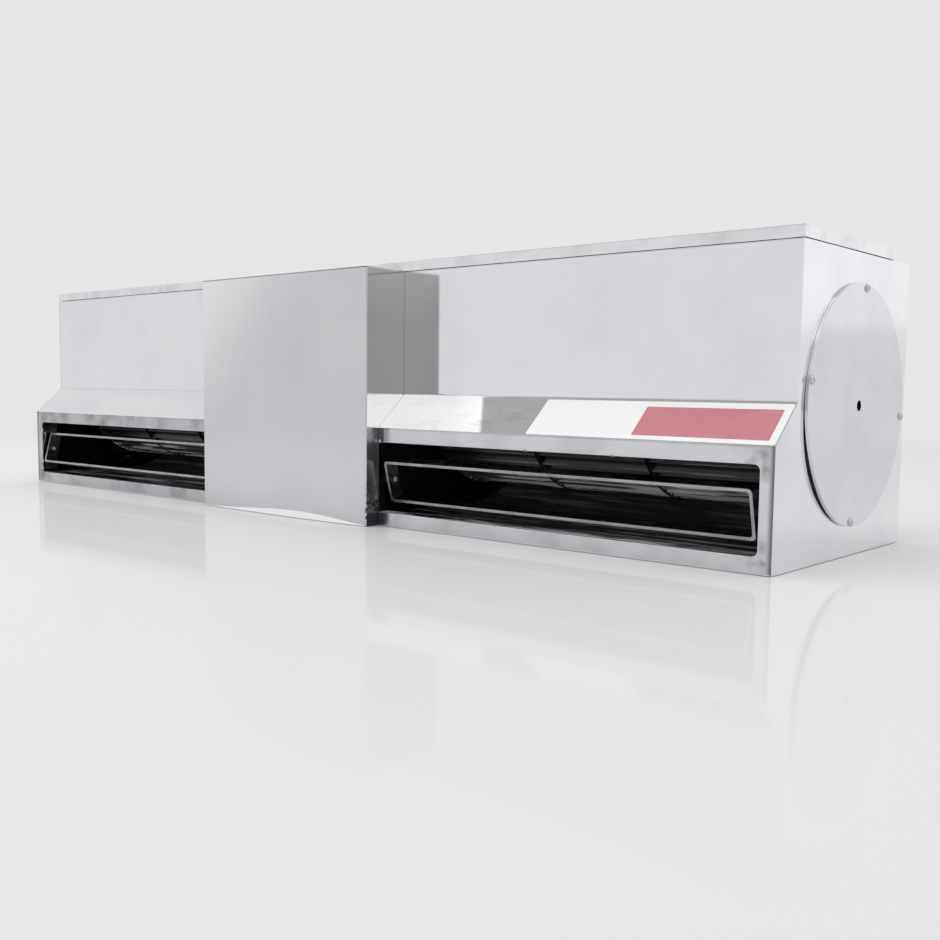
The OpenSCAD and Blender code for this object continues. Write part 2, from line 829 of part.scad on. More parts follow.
// Disc with a hub that carries the stub shaft at the impeller's outer end
module end_disc(side) {
    color("gray") sided(side) on_axis() difference() {
        union() {
            rod_x(blade_tip_r, impeller_x1, impeller_x1 + disc_t, $fn = 96);
            rod_x(hub_r, impeller_x1 - hub_l, impeller_x1 + over);
        }
        rod_x(stub_r + fit, impeller_x1 - hub_l - over, impeller_x1 + disc_t + over);
    }
}

module stub_shafts() {
    color("silver") for (side = [LEFT, RIGHT]) sided(side) on_axis()
        rod_x(stub_r, impeller_x1 - hub_l, bearing_x + bearing_w);
}

// ---- Motor ----

module motor_housing() {
    color("slategray") on_axis() along_x(-shield_x, shield_x) difference() {
        union() {
            circle(motor_r);
            for (k = [0:fin_count - 1]) rotate(k * 360 / fin_count)
                translate([motor_r - over, -fin_t / 2]) square([fin_h + over, fin_t]);
        }
        circle(motor_r - housing_wall);
    }
}

module stator_core() {
    outer = motor_r - housing_wall;
    color("dimgray") on_axis()
        ring_x(outer - fit, outer - stator_wall, -stator_l / 2, stator_l / 2);
}

module motor_windings() {
    outer = motor_r - housing_wall - winding_inset;
    inner = motor_r - housing_wall - stator_wall + winding_inset;
    color("sienna") for (side = [LEFT, RIGHT]) sided(side) on_axis()
        ring_x(outer, inner, stator_l / 2, stator_l / 2 + winding_l);
}

// The screws round an end shield, on its outer face
module shield_screw_places() {
    for (k = [0:shield_screw_count - 1]) rotate([(k + 0.5) * 360 / shield_screw_count, 0, 0])
        translate([0, 0, motor_r - housing_wall / 2]) children();
}

module motor_shields() {
    bearing_x0 = shield_x + shield_t;
    color("slategray") for (side = [LEFT, RIGHT]) sided(side) on_axis() difference() {
        union() {
            rod_x(motor_r + fin_h / 2, shield_x, shield_x + shield_t);
            rod_x(shield_boss_r, shield_x, shield_boss_x);
        }
        rod_x(motor_bearing_r + fit, shield_x - over, bearing_x0 + motor_bearing_w);
        rod_x(shaft_r + shaft_clear, shield_x - over, shield_boss_x + over);
        shield_screw_places() rod_x(shield_screw_r + fit, shield_x - over, bearing_x0 + over, $fn = 24);
    }
}

module shield_screws() {
    color("lightgray") for (side = [LEFT, RIGHT]) sided(side) on_axis() shield_screw_places()
        translate([shield_x + shield_t, 0, 0]) rotate([0, 90, 0])
            screw_down(shield_screw_r, shield_t);
}

module motor_bearings() {
    x0 = shield_x + shield_t;
    color("silver") for (side = [LEFT, RIGHT]) sided(side) on_axis()
        ring_x(motor_bearing_r, shaft_r + fit, x0, x0 + motor_bearing_w);
}

module motor_rubber_rings() {
    color("dimgray") for (side = [LEFT, RIGHT]) sided(side) on_axis()
        ring_x(rubber_ring_r, shield_boss_r + fit, rubber_ring_x, rubber_ring_x + rubber_ring_w);
}

// Base plate with two uprights, whose saddles hold the motor's rubber rings
module motor_cradle() {
    base_top = sheet + cradle_t;
    upright = [
        [-cradle_half_w, sheet], [cradle_half_w, sheet], [ledge_half_l, axis_z], [-ledge_half_l, axis_z]
    ];
    color("dimgray") difference() {
        union() {
            translate([-cradle_half_l, -cradle_half_w, sheet])
                cube([2 * cradle_half_l, 2 * cradle_half_w, cradle_t]);
            for (side = [LEFT, RIGHT]) sided(side) {
                along_x(upright_x, upright_x + cradle_t) polygon(upright);
                translate([upright_x, -ledge_half_l, axis_z - cradle_t])
                    cube([ledge_w, 2 * ledge_half_l, cradle_t]);
            }
        }
        on_axis() rod_x(rubber_ring_r + fit, -cradle_half_l - over, cradle_half_l + over);
        stud_places() translate([0, 0, -over])
            cylinder(h = base_top + over, r = stud_r + screw_clear, $fn = 24);
        strap_screw_places() translate([0, 0, -cradle_t - over])
            cylinder(h = cradle_t + 2 * over, r = strap_screw_r + fit, $fn = 24);
    }
}

// Half bands over the rubber rings, with a lug on each side
module cradle_straps() {
    band_r = rubber_ring_r + fit;
    color("silver") for (side = [LEFT, RIGHT]) sided(side) difference() {
        union() {
            intersection() {
                on_axis() ring_x(band_r + strap_t, band_r, upright_x, upright_x + ledge_w);
                translate([upright_x - over, -ledge_half_l, axis_z])
                    cube([ledge_w + 2 * over, 2 * ledge_half_l, ledge_half_l]);
            }
            for (turn = [-1, 1]) translate([upright_x, turn > 0 ? band_r : -ledge_half_l, axis_z])
                cube([ledge_w, ledge_half_l - band_r, strap_t]);
        }
        strap_screw_places() translate([0, 0, -over])
            cylinder(h = strap_t + 2 * over, r = strap_screw_r + fit, $fn = 24);
    }
}

module strap_screw_places() {
    for (side = [LEFT, RIGHT], y = [-1, 1])
        translate([side * strap_screw_x, y * strap_screw_y, axis_z]) children();
}

module strap_screws() {
    color("lightgray") strap_screw_places() translate([0, 0, strap_t])
        screw_down(strap_screw_r, strap_t + cradle_t + screw_tail);
}

module stud_places() {
    for (x = [-1, 1], y = [-1, 1]) translate([x * stud_x, y * stud_y, 0]) children();
}

// Studs welded to the wall sheet
module cradle_studs() {
    color("lightgray") stud_places() translate([0, 0, sheet]) cylinder(h = stud_h, r = stud_r, $fn = 24);
}

module cradle_nuts() {
    color("lightgray") stud_places() translate([0, 0, sheet + cradle_t]) difference() {
        cylinder(h = stud_nut_h, r = stud_nut_r, $fn = 6);
        translate([0, 0, -over]) cylinder(h = stud_nut_h + 2 * over, r = stud_r + fit, $fn = 24);
    }
}

// ---- Electrical pieces ----

module run_capacitor() {
    terminal_r = 3;
    terminal_l = 8;
    color("gainsboro") translate([0, capacitor_y, capacitor_z]) {
        rod_x(capacitor_r - fit, capacitor_x, capacitor_x + capacitor_l);
        for (z = [-1, 1]) translate([0, 0, z * capacitor_r / 2])
            rod_x(terminal_r, capacitor_x + capacitor_l, capacitor_x + capacitor_l + terminal_l, $fn = 24);
    }
}

// Band round the capacitor with a lug above and below, against the back
module capacitor_strap() {
    x0 = capacitor_x + (capacitor_l - capacitor_strap_w) / 2;
    x1 = x0 + capacitor_strap_w;
    outer = capacitor_r + capacitor_strap_t;
    color("silver") intersection() {
        union() {
            difference() {
                translate([0, capacitor_y, capacitor_z]) union() {
                    rod_x(outer, x0, x1);
                    translate([x0, 0, -outer]) cube([capacitor_strap_w, capacitor_r, 2 * outer]);
                }
                translate([0, capacitor_y, capacitor_z]) {
                    rod_x(capacitor_r, x0 - over, x1 + over);
                    translate([x0 - over, 0, -capacitor_r])
                        cube([capacitor_strap_w + 2 * over, outer, 2 * capacitor_r]);
                }
            }
            for (z = [-outer - capacitor_lug_h, outer - over])
                translate([x0, inner_back_y - capacitor_strap_t, capacitor_z + z])
                    cube([capacitor_strap_w, capacitor_strap_t, capacitor_lug_h + over]);
        }
        translate([x0 - over, 0, 0]) cube([capacitor_strap_w + 2 * over, inner_back_y, body_h]);
    }
}

// Row of clamp terminals in a moulded block
module terminal_block() {
    length = terminal_ways * terminal_pitch;
    wire_r = 2.5;
    clamp_r = 3;
    slit_w = 1;
    color("ivory") translate([terminal_x, inner_back_y - terminal_d, terminal_z]) difference() {
        cube([length, terminal_d, terminal_h]);
        for (i = [0:terminal_ways - 1]) translate([(i + 0.5) * terminal_pitch, 0, 0]) {
            translate([0, terminal_d / 2, -over])
                cylinder(h = terminal_h + 2 * over, r = wire_r, $fn = 24);
            for (z = [0.25, 0.75]) translate([0, terminal_d / 2, z * terminal_h])
                rotate([90, 0, 0]) cylinder(h = terminal_d, r = clamp_r, $fn = 24);
        }
        for (i = [1:terminal_ways - 1]) translate([i * terminal_pitch - slit_w / 2, -over, -over])
            cube([slit_w, terminal_d / 2 + over, terminal_h + 2 * over]);
    }
}

// Frame at the gland's hole, with Z pointing out of the back
module gland_place() {
    translate([gland_x, back_y, gland_z]) rotate([-90, 0, 0]) children();
}

module cable_gland() {
    color("dimgray") gland_place() difference() {
        union() {
            translate([0, 0, gland_inner_z]) cylinder(h = over - gland_inner_z, r = gland_thread_r);
            cylinder(h = gland_hex_h, r = gland_hex_r, $fn = 6);
            cylinder(h = gland_hex_h + gland_dome_h, r = gland_dome_r);
            translate([0, 0, gland_hex_h + gland_dome_h])
                cylinder(h = gland_cone_h, r1 = gland_dome_r, r2 = gland_dome_r - gland_cone_set_in);
        }
        translate([0, 0, gland_inner_z - over])
            cylinder(h = gland_hex_h + gland_dome_h + gland_cone_h - gland_inner_z + 2 * over,
                     d = gland_bore_d);
    }
}

module gland_locknut() {
    color("dimgray") gland_place() translate([0, 0, -sheet - gland_lock_h]) difference() {
        cylinder(h = gland_lock_h, r = gland_hex_r, $fn = 6);
        translate([0, 0, -over]) cylinder(h = gland_lock_h + 2 * over, r = gland_thread_r + fit);
    }
}

// ---- Nodes ----

wall_sheet();
back_sheet();
top_sheet();
joining_angles();
front_panel(LEFT);  // front_panel_left
front_panel(RIGHT);  // front_panel_right
nozzle_frame(LEFT);  // nozzle_frame_left
nozzle_frame(RIGHT);  // nozzle_frame_right
end_panel(LEFT);  // end_panel_left
end_panel(RIGHT);  // end_panel_right
end_cover(LEFT);  // end_cover_left
end_cover(RIGHT);  // end_cover_right
end_cover_gaskets();
end_cover_screws();
bearing_cups();
bearing_rubbers();
outer_bearings();
intake_lid();
lid_standoffs();
lid_screws();
motor_cover();
motor_cover_screws();
bulkhead(LEFT);  // bulkhead_left
bulkhead(RIGHT);  // bulkhead_right
scroll(LEFT);  // scroll_left
scroll(RIGHT);  // scroll_right
cutoff(LEFT);  // cutoff_left
cutoff(RIGHT);  // cutoff_right
mount_nuts();
vane(LEFT);  // vane_left
vane(RIGHT);  // vane_right
vane_pivots(LEFT);  // vane_pivots_left
vane_pivots(RIGHT);  // vane_pivots_right
vane_spacers();
motor_shaft();
motor_rotor();
impeller(LEFT);  // impeller_left
impeller(RIGHT);  // impeller_right
drive_disc(LEFT);  // drive_disc_left
drive_disc(RIGHT);  // drive_disc_right
end_disc(LEFT);  // end_disc_left
end_disc(RIGHT);  // end_disc_right
stub_shafts();
motor_housing();
stator_core();
motor_windings();
motor_shields();
shield_screws();
motor_bearings();
motor_rubber_rings();
motor_cradle();
cradle_straps();
strap_screws();
cradle_studs();
cradle_nuts();
run_capacitor();
capacitor_strap();
terminal_block();
cable_gland();
gland_locknut();
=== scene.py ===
import math

import bmesh
import bpy
from mathutils import Matrix, Vector


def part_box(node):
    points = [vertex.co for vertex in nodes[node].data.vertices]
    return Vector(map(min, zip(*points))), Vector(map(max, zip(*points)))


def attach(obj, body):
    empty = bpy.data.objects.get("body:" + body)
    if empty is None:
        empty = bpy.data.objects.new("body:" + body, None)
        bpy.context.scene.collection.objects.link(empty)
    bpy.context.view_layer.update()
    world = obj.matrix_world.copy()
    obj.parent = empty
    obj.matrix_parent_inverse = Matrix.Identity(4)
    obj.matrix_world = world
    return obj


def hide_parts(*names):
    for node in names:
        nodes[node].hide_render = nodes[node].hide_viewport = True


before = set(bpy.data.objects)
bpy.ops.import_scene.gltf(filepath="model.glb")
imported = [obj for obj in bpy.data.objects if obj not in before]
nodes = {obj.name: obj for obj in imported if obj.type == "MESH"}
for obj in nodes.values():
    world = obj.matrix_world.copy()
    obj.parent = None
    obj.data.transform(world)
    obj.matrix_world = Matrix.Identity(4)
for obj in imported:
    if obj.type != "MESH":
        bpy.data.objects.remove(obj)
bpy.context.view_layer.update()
scene = bpy.context.scene
scene.view_settings.view_transform = "Standard"


# ---- Studio ----
# A pale sweep under a plain even light. The unit's steel is a mirror, so a few large cards outside the
# picture give it something to show: a bright softbox beyond the right end, a narrow one high on the left
# for the edges, a grey ceiling, a grey wall behind the camera and a white one behind the right end.

def linear(code):
    """Linear colour from an sRGB hex code."""
    parts = [int(code[i:i + 2], 16) / 255 for i in (1, 3, 5)]
    return tuple(p / 12.92 if p <= 0.04045 else ((p + 0.055) / 1.055) ** 2.4 for p in parts) + (1.0,)


def feed(tree, node, inputs):
    """Sets a node's inputs to values, or links them to sockets or to the first live output of nodes."""
    for key, value in inputs.items():
        if isinstance(value, bpy.types.Node):
            value = next(socket for socket in value.outputs if socket.enabled)
        if isinstance(value, bpy.types.NodeSocket):
            tree.links.new(value, node.inputs[key])
        else:
            node.inputs[key].default_value = value


def add(tree, kind, inputs=None, **settings):
    """Adds a shader node with its settings and its inputs."""
    made = tree.nodes.new("ShaderNode" + kind)
    for key, value in settings.items():
        setattr(made, key, value)
    feed(tree, made, inputs or {})
    return made


# The camera stands low at the right front. Its place and turns were fitted to the unit's long edges.
camera_place = Vector((0.9959, -0.9836, 0.152))
camera_turn = 0.7163
camera_dip = 0.0910
camera_roll = 0.0110
quarter_turn = math.pi / 2
camera = bpy.data.objects.new("camera", bpy.data.cameras.new("camera"))
scene.collection.objects.link(camera)
scene.camera = camera
camera.data.lens = 41.23
camera.data.sensor_width = 36
camera.data.shift_y = 0.0165
camera.matrix_world = (
    Matrix.Translation(camera_place) @ Matrix.Rotation(camera_turn, 4, "Z")
    @ Matrix.Rotation(quarter_turn - camera_dip, 4, "X") @ Matrix.Rotation(camera_roll, 4, "Z"))

# The eye and the steel see the pale backdrop; everything else is lit by a slightly weaker white
sky = bpy.data.worlds.new("studio")
scene.world = sky
sky.use_nodes = True
tree = sky.node_tree
tree.nodes.clear()
rays = add(tree, "LightPath").outputs
seen = add(tree, "Math", {0: rays["Is Camera Ray"], 1: rays["Is Glossy Ray"]}, operation="ADD")
seen = add(tree, "Math", {0: seen, 1: rays["Is Transmission Ray"]}, operation="ADD", use_clamp=True)
backdrop = add(tree, "Background", {"Color": linear("#E6E6E6"), "Strength": 1.0})
ambient = add(tree, "Background", {"Color": linear("#FFFFFF"), "Strength": 0.76})
both = add(tree, "MixShader", {0: seen, 1: ambient, 2: backdrop})
add(tree, "OutputWorld", {"Surface": both})

# One large soft lamp overhead gives the floor its shadow; the gloss of the steel doesn't show it
lamp = bpy.data.objects.new("overhead", bpy.data.lights.new("overhead", "AREA"))
scene.collection.objects.link(lamp)
lamp.data.shape = "RECTANGLE"
lamp.data.size = 3.0
lamp.data.size_y = 2.4
lamp.data.energy = 34.0
lamp.matrix_world = Matrix.Translation((-0.6, -0.6, 3.0)) @ Matrix.Rotation(0.12, 4, "X")
lamp.visible_glossy = False


def card(name, width, height, place, turn, colour, glow):
    """Flat card that only gloss sees, facing along its own +Z."""
    bm = bmesh.new()
    bmesh.ops.create_grid(bm, x_segments=1, y_segments=1, size=0.5)
    bmesh.ops.scale(bm, vec=(width, height, 1), verts=bm.verts)
    bm.transform(Matrix.Translation(place) @ turn)
    mesh = bpy.data.meshes.new(name)
    bm.to_mesh(mesh)
    bm.free()
    finish = bpy.data.materials.new(name)
    finish.use_nodes = True
    tree = finish.node_tree
    tree.nodes.clear()
    light = add(tree, "Emission", {"Color": linear(colour), "Strength": glow})
    add(tree, "OutputMaterial", {"Surface": light})
    mesh.materials.append(finish)
    made = bpy.data.objects.new(name, mesh)
    scene.collection.objects.link(made)
    made.visible_camera = False
    made.visible_diffuse = False
    made.visible_shadow = False


to_left = Matrix.Rotation(-quarter_turn, 4, "Y")
to_right = Matrix.Rotation(quarter_turn, 4, "Y")
downward = Matrix.Rotation(math.pi, 4, "Y")
forward = Matrix.Rotation(quarter_turn, 4, "X")
slantwise = Matrix.Rotation(math.radians(45), 4, "Z") @ forward
card("softbox_card", 1.5, 2.4, (1.7, 0.0, 1.95), to_left, "#FFFEF7", 1.5)
card("edge_card", 0.8, 2.0, (-2.6, -1.3, 2.6), to_right, "#FFFFFF", 1.25)
card("ceiling_card", 4.2, 5.0, (-0.8, 0.0, 3.07), downward, "#FFFFFF", 0.46)
card("rear_card", 1.2, 1.2, (1.72, -1.67, 0.5), slantwise, "#FFFEF7", 0.47)
card("end_card", 2.4, 1.0, (1.5, 2.35, 0.85), forward, "#FFFFFF", 0.95)

# Floor: painted board with a thin gloss, half a millimetre under the unit, fading into the backdrop
floor_radius = 3.3
fade_start = 1.5
fade_end = 3.1
under = 0.0005
bm = bmesh.new()
bmesh.ops.create_circle(bm, cap_ends=True, radius=floor_radius, segments=96)
bmesh.ops.translate(bm, vec=(0, 0, -under), verts=bm.verts)
mesh = bpy.data.meshes.new("floor")
bm.to_mesh(mesh)
bm.free()
floor_paint = bpy.data.materials.new("floor_paint")
floor_paint.use_nodes = True
tree = floor_paint.node_tree
tree.nodes.clear()
place = add(tree, "TexCoord").outputs["Object"]
reach = add(tree, "VectorMath", {0: place}, operation="LENGTH")
fade = add(tree, "MapRange", {"Value": reach, "From Min": fade_start, "From Max": fade_end},
           interpolation_type="SMOOTHSTEP")
matt = add(tree, "BsdfDiffuse", {"Color": linear("#E9E9E9")})
gloss = add(tree, "BsdfGlossy", {"Color": linear("#FFFFFF"), "Roughness": 0.06})
glance = add(tree, "Fresnel", {"IOR": 1.45})
share = add(tree, "Math", {0: glance, 1: 0.42}, operation="MULTIPLY")
board = add(tree, "MixShader", {0: share, 1: matt, 2: gloss})
clear = add(tree, "BsdfTransparent")
faded = add(tree, "MixShader", {0: fade, 1: board, 2: clear})
add(tree, "OutputMaterial", {"Surface": faded})
mesh.materials.append(floor_paint)
floor = bpy.data.objects.new("floor", mesh)
scene.collection.objects.link(floor)


# ---- Wall, back and top sheets ----
# Three flat stainless sheets, spot-welded to the flanges of the end panels and bulkheads and to the
# angle strips that join them. Mill-finish sheet: a soft mirror with a fine grain and a slight buckle.

def surface(name, colour, metallic, roughness):
    """Starts a material whose shader has the given values. Gives the material, its tree, its shader and
    the socket with a point's place on the piece."""
    finish = bpy.data.materials.new(name)
    finish.use_nodes = True
    tree = finish.node_tree
    tree.nodes.clear()
    shader = add(tree, "BsdfPrincipled",
                 {"Base Color": linear(colour), "Metallic": metallic, "Roughness": roughness})
    add(tree, "OutputMaterial", {"Surface": shader})
    place = add(tree, "TexCoord").outputs["Object"]
    return finish, tree, shader, place


def pattern_scale(*lengths):
    """Scale of a pattern whose marks have the given lengths along X, Y and Z, in millimetres."""
    return [1000 / length for length in lengths]


def rolled_steel(name, bright, dull, polish, smear, patch, buckle, grain=(60, 1.2, 1.2)):
    """Cold-rolled stainless sheet. The colour and roughness drift between two values in smears of the patch
    size; grain gives the rolling marks along X, Y and Z, and buckle the dents' depth, all in millimetres."""
    finish, tree, shader, place = surface(name, bright, 1.0, polish)
    smears = add(tree, "TexNoise", {"Vector": place, "Scale": 1000 / patch, "Detail": 4.0, "Roughness": 0.6})
    share = add(tree, "MapRange", {"Value": smears, "From Min": 0.42, "From Max": 0.72})
    tone = add(tree, "Mix", {"Factor": share, "A": linear(bright), "B": linear(dull)}, data_type="RGBA")
    # The real marks are a few hundredths of a millimetre wide; they are drawn about 1 mm wide to show
    stretched = add(tree, "Mapping", {"Vector": place, "Scale": pattern_scale(*grain)})
    marks = add(tree, "TexNoise", {"Vector": stretched, "Scale": 1.0, "Detail": 3.0, "Roughness": 0.7})
    rough = add(tree, "MapRange", {"Value": share, "To Min": polish, "To Max": smear})
    rough = add(tree, "Math", {0: marks, 1: polish / 2, 2: rough}, operation="MULTIPLY_ADD")
    # The sheet's buckles are about 250 mm long
    dents = add(tree, "TexNoise", {"Vector": place, "Scale": 1000 / 250, "Detail": 1.0})
    bent = add(tree, "Bump", {"Height": dents, "Distance": buckle / 1000, "Strength": 1.0})
    scored = add(tree, "Bump", {"Height": marks, "Distance": 0.00002, "Strength": 1.0, "Normal": bent})
    feed(tree, shader, {"Base Color": tone, "Roughness": rough, "Normal": scored})
    return finish, tree, shader, place, tone


def dress(finish, *names):
    """Gives CAD nodes their material."""
    for name in names:
        nodes[name].data.materials.clear()
        nodes[name].data.materials.append(finish)


back_steel = rolled_steel("mill_finish_stainless", "#E2E1E6", "#D8D7DC", 0.12, 0.22, 130, 0.9)[0]
dress(back_steel, "wall_sheet", "back_sheet", "top_sheet")


# ---- Bulkheads, scrolls and cut-offs ----
# Galvanised sheet, folded and rolled, spot-welded inside the casing. It is coloured dark grey as painted
# shade, so that the throat is nearly black behind the vane, and shows zinc crystals about 9 mm across.

crystal = 9
galvanised, tree, shader, place = surface("galvanised_sheet", "#4A4B4E", 1.0, 0.45)
spangle = add(tree, "TexVoronoi", {"Vector": place, "Scale": 1000 / crystal}).outputs["Color"]
tone = add(tree, "Mix", {"Factor": spangle, "A": linear("#3C3D40"), "B": linear("#57585B")}, data_type="RGBA")
rough = add(tree, "MapRange", {"Value": spangle, "To Min": 0.36, "To Max": 0.52})
feed(tree, shader, {"Base Color": tone, "Roughness": rough})
dress(galvanised, "cutoff_left", "cutoff_right", "bearing_cups", "joining_angles")

# The casing's front: the slope rises from the nose over the nozzle to the foot of the upright sheet
panel_low, panel_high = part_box("front_panel_right")
front_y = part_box("top_sheet")[0].y
slope_foot = Vector((0, panel_low.y, 0.107))
slope_head = Vector((0, front_y, 0.143))
slope_up = (slope_head - slope_foot).normalized()
slope_out = Vector((0, -slope_up.z, slope_up.y))

# The bulkheads' front edges lie flush between the motor cover and the front panels, and are bare
bulkhead_sheet, tree, shader, place = surface("galvanised_sheet_with_bare_edge", "#3C3D40", 1.0, 0.4)
parts = add(tree, "SeparateXYZ", {0: place}).outputs
above = add(tree, "Math", {0: parts["Z"], 1: slope_head.z}, operation="GREATER_THAN")
face = add(tree, "Math", {0: parts["Y"], 1: front_y + 0.0003}, operation="LESS_THAN")
upright = add(tree, "Math", {0: above, 1: face}, operation="MULTIPLY")
from_foot = add(tree, "VectorMath", {0: place, 1: slope_foot}, operation="SUBTRACT")
outside = add(tree, "VectorMath", {0: from_foot, 1: slope_out}, operation="DOT_PRODUCT")
sloped = add(tree, "Math", {0: outside, 1: -0.0004}, operation="GREATER_THAN")
below = add(tree, "Math", {0: parts["Z"], 1: slope_head.z + 0.0004}, operation="LESS_THAN")
sloped = add(tree, "Math", {0: sloped, 1: below}, operation="MULTIPLY")
bare = add(tree, "Math", {0: upright, 1: sloped}, operation="MAXIMUM")
nose = add(tree, "Math", {0: parts["Y"], 1: slope_foot.y + 0.0003}, operation="LESS_THAN")
nose = add(tree, "Math", {0: nose, 1: 0.06}, operation="MULTIPLY")
bare = add(tree, "Math", {0: bare, 1: nose}, operation="MAXIMUM")
spangle = add(tree, "TexVoronoi", {"Vector": place, "Scale": 1000 / crystal}).outputs["Color"]
# The bulkheads are coloured dark grey as painted shade, apart from their bare edges
grey = add(tree, "Mix", {"Factor": spangle, "A": linear("#303134"), "B": linear("#454649")}, data_type="RGBA")
tone = add(tree, "Mix", {"Factor": bare, "A": grey, "B": linear("#DCDBE0")}, data_type="RGBA")
rough = add(tree, "MapRange", {"Value": bare, "To Min": 0.44, "To Max": 0.12})
feed(tree, shader, {"Base Color": tone, "Roughness": rough})
dress(bulkhead_sheet, "bulkhead_left", "bulkhead_right")

# The scrolls are coloured dark as painted shade, with long pale streaks as painted reflections of the blades,
# most clearly near the mouth
scroll_sheet, tree, shader, place = surface("galvanised_scroll_with_painted_shade_and_reflections", "#5A5A5C", 0.2, 0.4)
parts = add(tree, "SeparateXYZ", {0: place}).outputs
stretched = add(tree, "Mapping", {"Vector": place, "Scale": pattern_scale(150, 11, 11)})
painted_reflection_streaks = add(tree, "TexNoise", {"Vector": stretched, "Scale": 1.0, "Detail": 3.0, "Roughness": 0.6})
painted_reflection_streaks = add(tree, "MapRange", {"Value": painted_reflection_streaks, "From Min": 0.50, "From Max": 0.62})
mouth = add(tree, "MapRange", {"Value": parts["Y"], "From Min": -0.06, "From Max": -0.09})
painted_streaking = add(tree, "Mix", {"Factor": mouth, "A": linear("#6A6A6C"), "B": linear("#1A1A1C")}, data_type="RGBA")
pale_painted_reflection = add(tree, "Mix", {"Factor": mouth, "A": linear("#B8B8BA"), "B": linear("#F0F0F2")}, data_type="RGBA")
tone = add(tree, "Mix", {"Factor": painted_reflection_streaks, "A": painted_streaking, "B": pale_painted_reflection}, data_type="RGBA")
feed(tree, shader, {"Base Color": tone})
dress(scroll_sheet, "scroll_left", "scroll_right")


# ---- Motor ----
# Finned aluminium housing under grey paint, with a laminated stator, varnished copper windings and a
# rotor. It hangs in rubber rings in a black-painted cradle that is bolted to studs on the wall sheet.

# The paint shows the casting's grain of about 1.5 mm
motor_paint, tree, shader, place = surface("grey_paint_on_cast_aluminium", "#5F646B", 0.0, 0.45)
cast = add(tree, "TexNoise", {"Vector": place, "Scale": 1000 / 1.5, "Detail": 2.0})
skin = add(tree, "Bump", {"Height": cast, "Distance": 0.0001})
feed(tree, shader, {"Normal": skin})
dress(motor_paint, "motor_housing", "motor_shields")

# The real plates are 0.5 mm thick; they are drawn 2 mm thick to show
lamination, tree, shader, place = surface("varnished_laminations", "#55545A", 0.8, 0.45)
plates = add(tree, "TexWave", {"Vector": place, "Scale": 1000 / 2 / 2}, bands_direction="X")
edges = add(tree, "Bump", {"Height": plates, "Distance": 0.0001})
feed(tree, shader, {"Normal": edges})
dress(lamination, "stator_core", "motor_rotor")

# Turns of wire, drawn 2.4 mm apart, with painted shade in the grooves between them
copper, tree, shader, place = surface("varnished_copper_wire", "#A5552A", 0.9, 0.35)
turns = add(tree, "TexWave", {"Vector": place, "Scale": 1000 / 2.4 / 2, "Distortion": 2.0},
            wave_type="RINGS", rings_direction="X")
wound = add(tree, "Bump", {"Height": turns, "Distance": 0.0004})
tone = add(tree, "Mix", {"Factor": turns, "A": linear("#6E3317"), "B": linear("#B9652F")}, data_type="RGBA")
feed(tree, shader, {"Base Color": tone, "Normal": wound})
dress(copper, "motor_windings")

# Sprayed paint, with a faint orange peel in dimples of 2 mm
black_paint, tree, shader, place = surface("black_paint_on_steel", "#26272A", 0.0, 0.4)
peel = add(tree, "TexNoise", {"Vector": place, "Scale": 1000 / 2, "Detail": 2.0})
skin = add(tree, "Bump", {"Height": peel, "Distance": 0.00008})
feed(tree, shader, {"Normal": skin})
dress(black_paint, "motor_cradle")

# Rubber with a grey bloom in spots of 10 mm
rubber, tree, shader, place = surface("moulded_rubber", "#2B2B2B", 0.0, 0.75)
bloom = add(tree, "TexNoise", {"Vector": place, "Scale": 1000 / 10, "Detail": 4.0})
tone = add(tree, "Mix", {"Factor": bloom, "A": linear("#1E1E1E"), "B": linear("#3A3A39")}, data_type="RGBA")
feed(tree, shader, {"Base Color": tone})
dress(rubber, "motor_rubber_rings", "bearing_rubbers", "end_cover_gaskets")

# Zinc plating whose gloss varies in spots of 4 mm
zinc, tree, shader, place = surface("zinc_plated_steel", "#C9CCD0", 1.0, 0.25)
haze = add(tree, "TexNoise", {"Vector": place, "Scale": 1000 / 4, "Detail": 3.0})
rough = add(tree, "MapRange", {"Value": haze, "To Min": 0.15, "To Max": 0.4})
feed(tree, shader, {"Roughness": rough})
dress(zinc, "cradle_straps", "strap_screws", "cradle_studs", "cradle_nuts", "shield_screws", "mount_nuts",
      "motor_cover_screws", "capacitor_strap")


# ---- Shafts and bearings ----
# Shafts of bright steel, ground between centres, which leaves fine rings round the axis. They run in
# sealed ball bearings of the same steel, pressed on to their ends.

turned_steel, tree, shader, place = surface("ground_steel", "#A8A9AB", 1.0, 0.22)
stretched = add(tree, "Mapping", {"Vector": place, "Scale": pattern_scale(1, 50, 50)})
rings = add(tree, "TexNoise", {"Vector": stretched, "Scale": 1.0, "Detail": 2.0})
rough = add(tree, "MapRange", {"Value": rings, "To Min": 0.14, "To Max": 0.34})
feed(tree, shader, {"Roughness": rough})
dress(turned_steel, "motor_shaft", "stub_shafts", "motor_bearings", "outer_bearings")


# ---- Impellers ----
# Drums of 48 curved blades, pressed from mill aluminium and riveted into rings. The blades and rings are
# coloured nearly black as painted shade, and the blades' outer edges carry painted highlights. The end
# discs with their hubs are painted black.

drum_low, drum_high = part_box("impeller_right")
axis = Vector((0, 0, (drum_low.z + drum_high.z) / 2))
aluminium, tree, shader, place = surface("mill_aluminium_with_painted_shade_and_highlights", "#C8CACD", 0.2, 0.3)
from_axis = add(tree, "VectorMath", {0: place, 1: axis}, operation="SUBTRACT")
across = add(tree, "VectorMath", {0: from_axis, 1: (0, 1, 1)}, operation="MULTIPLY")
radius = add(tree, "VectorMath", {0: across}, operation="LENGTH")
# The painted highlights are brightest and widest on the blades at the height of the nozzle
parts = add(tree, "SeparateXYZ", {0: place}).outputs
nozzle_height_light = add(tree, "MapRange", {"Value": parts["Z"], "From Min": 0.070, "From Max": 0.065})
wider = add(tree, "Math", {0: nozzle_height_light, 1: 0.0018, 2: radius}, operation="MULTIPLY_ADD")
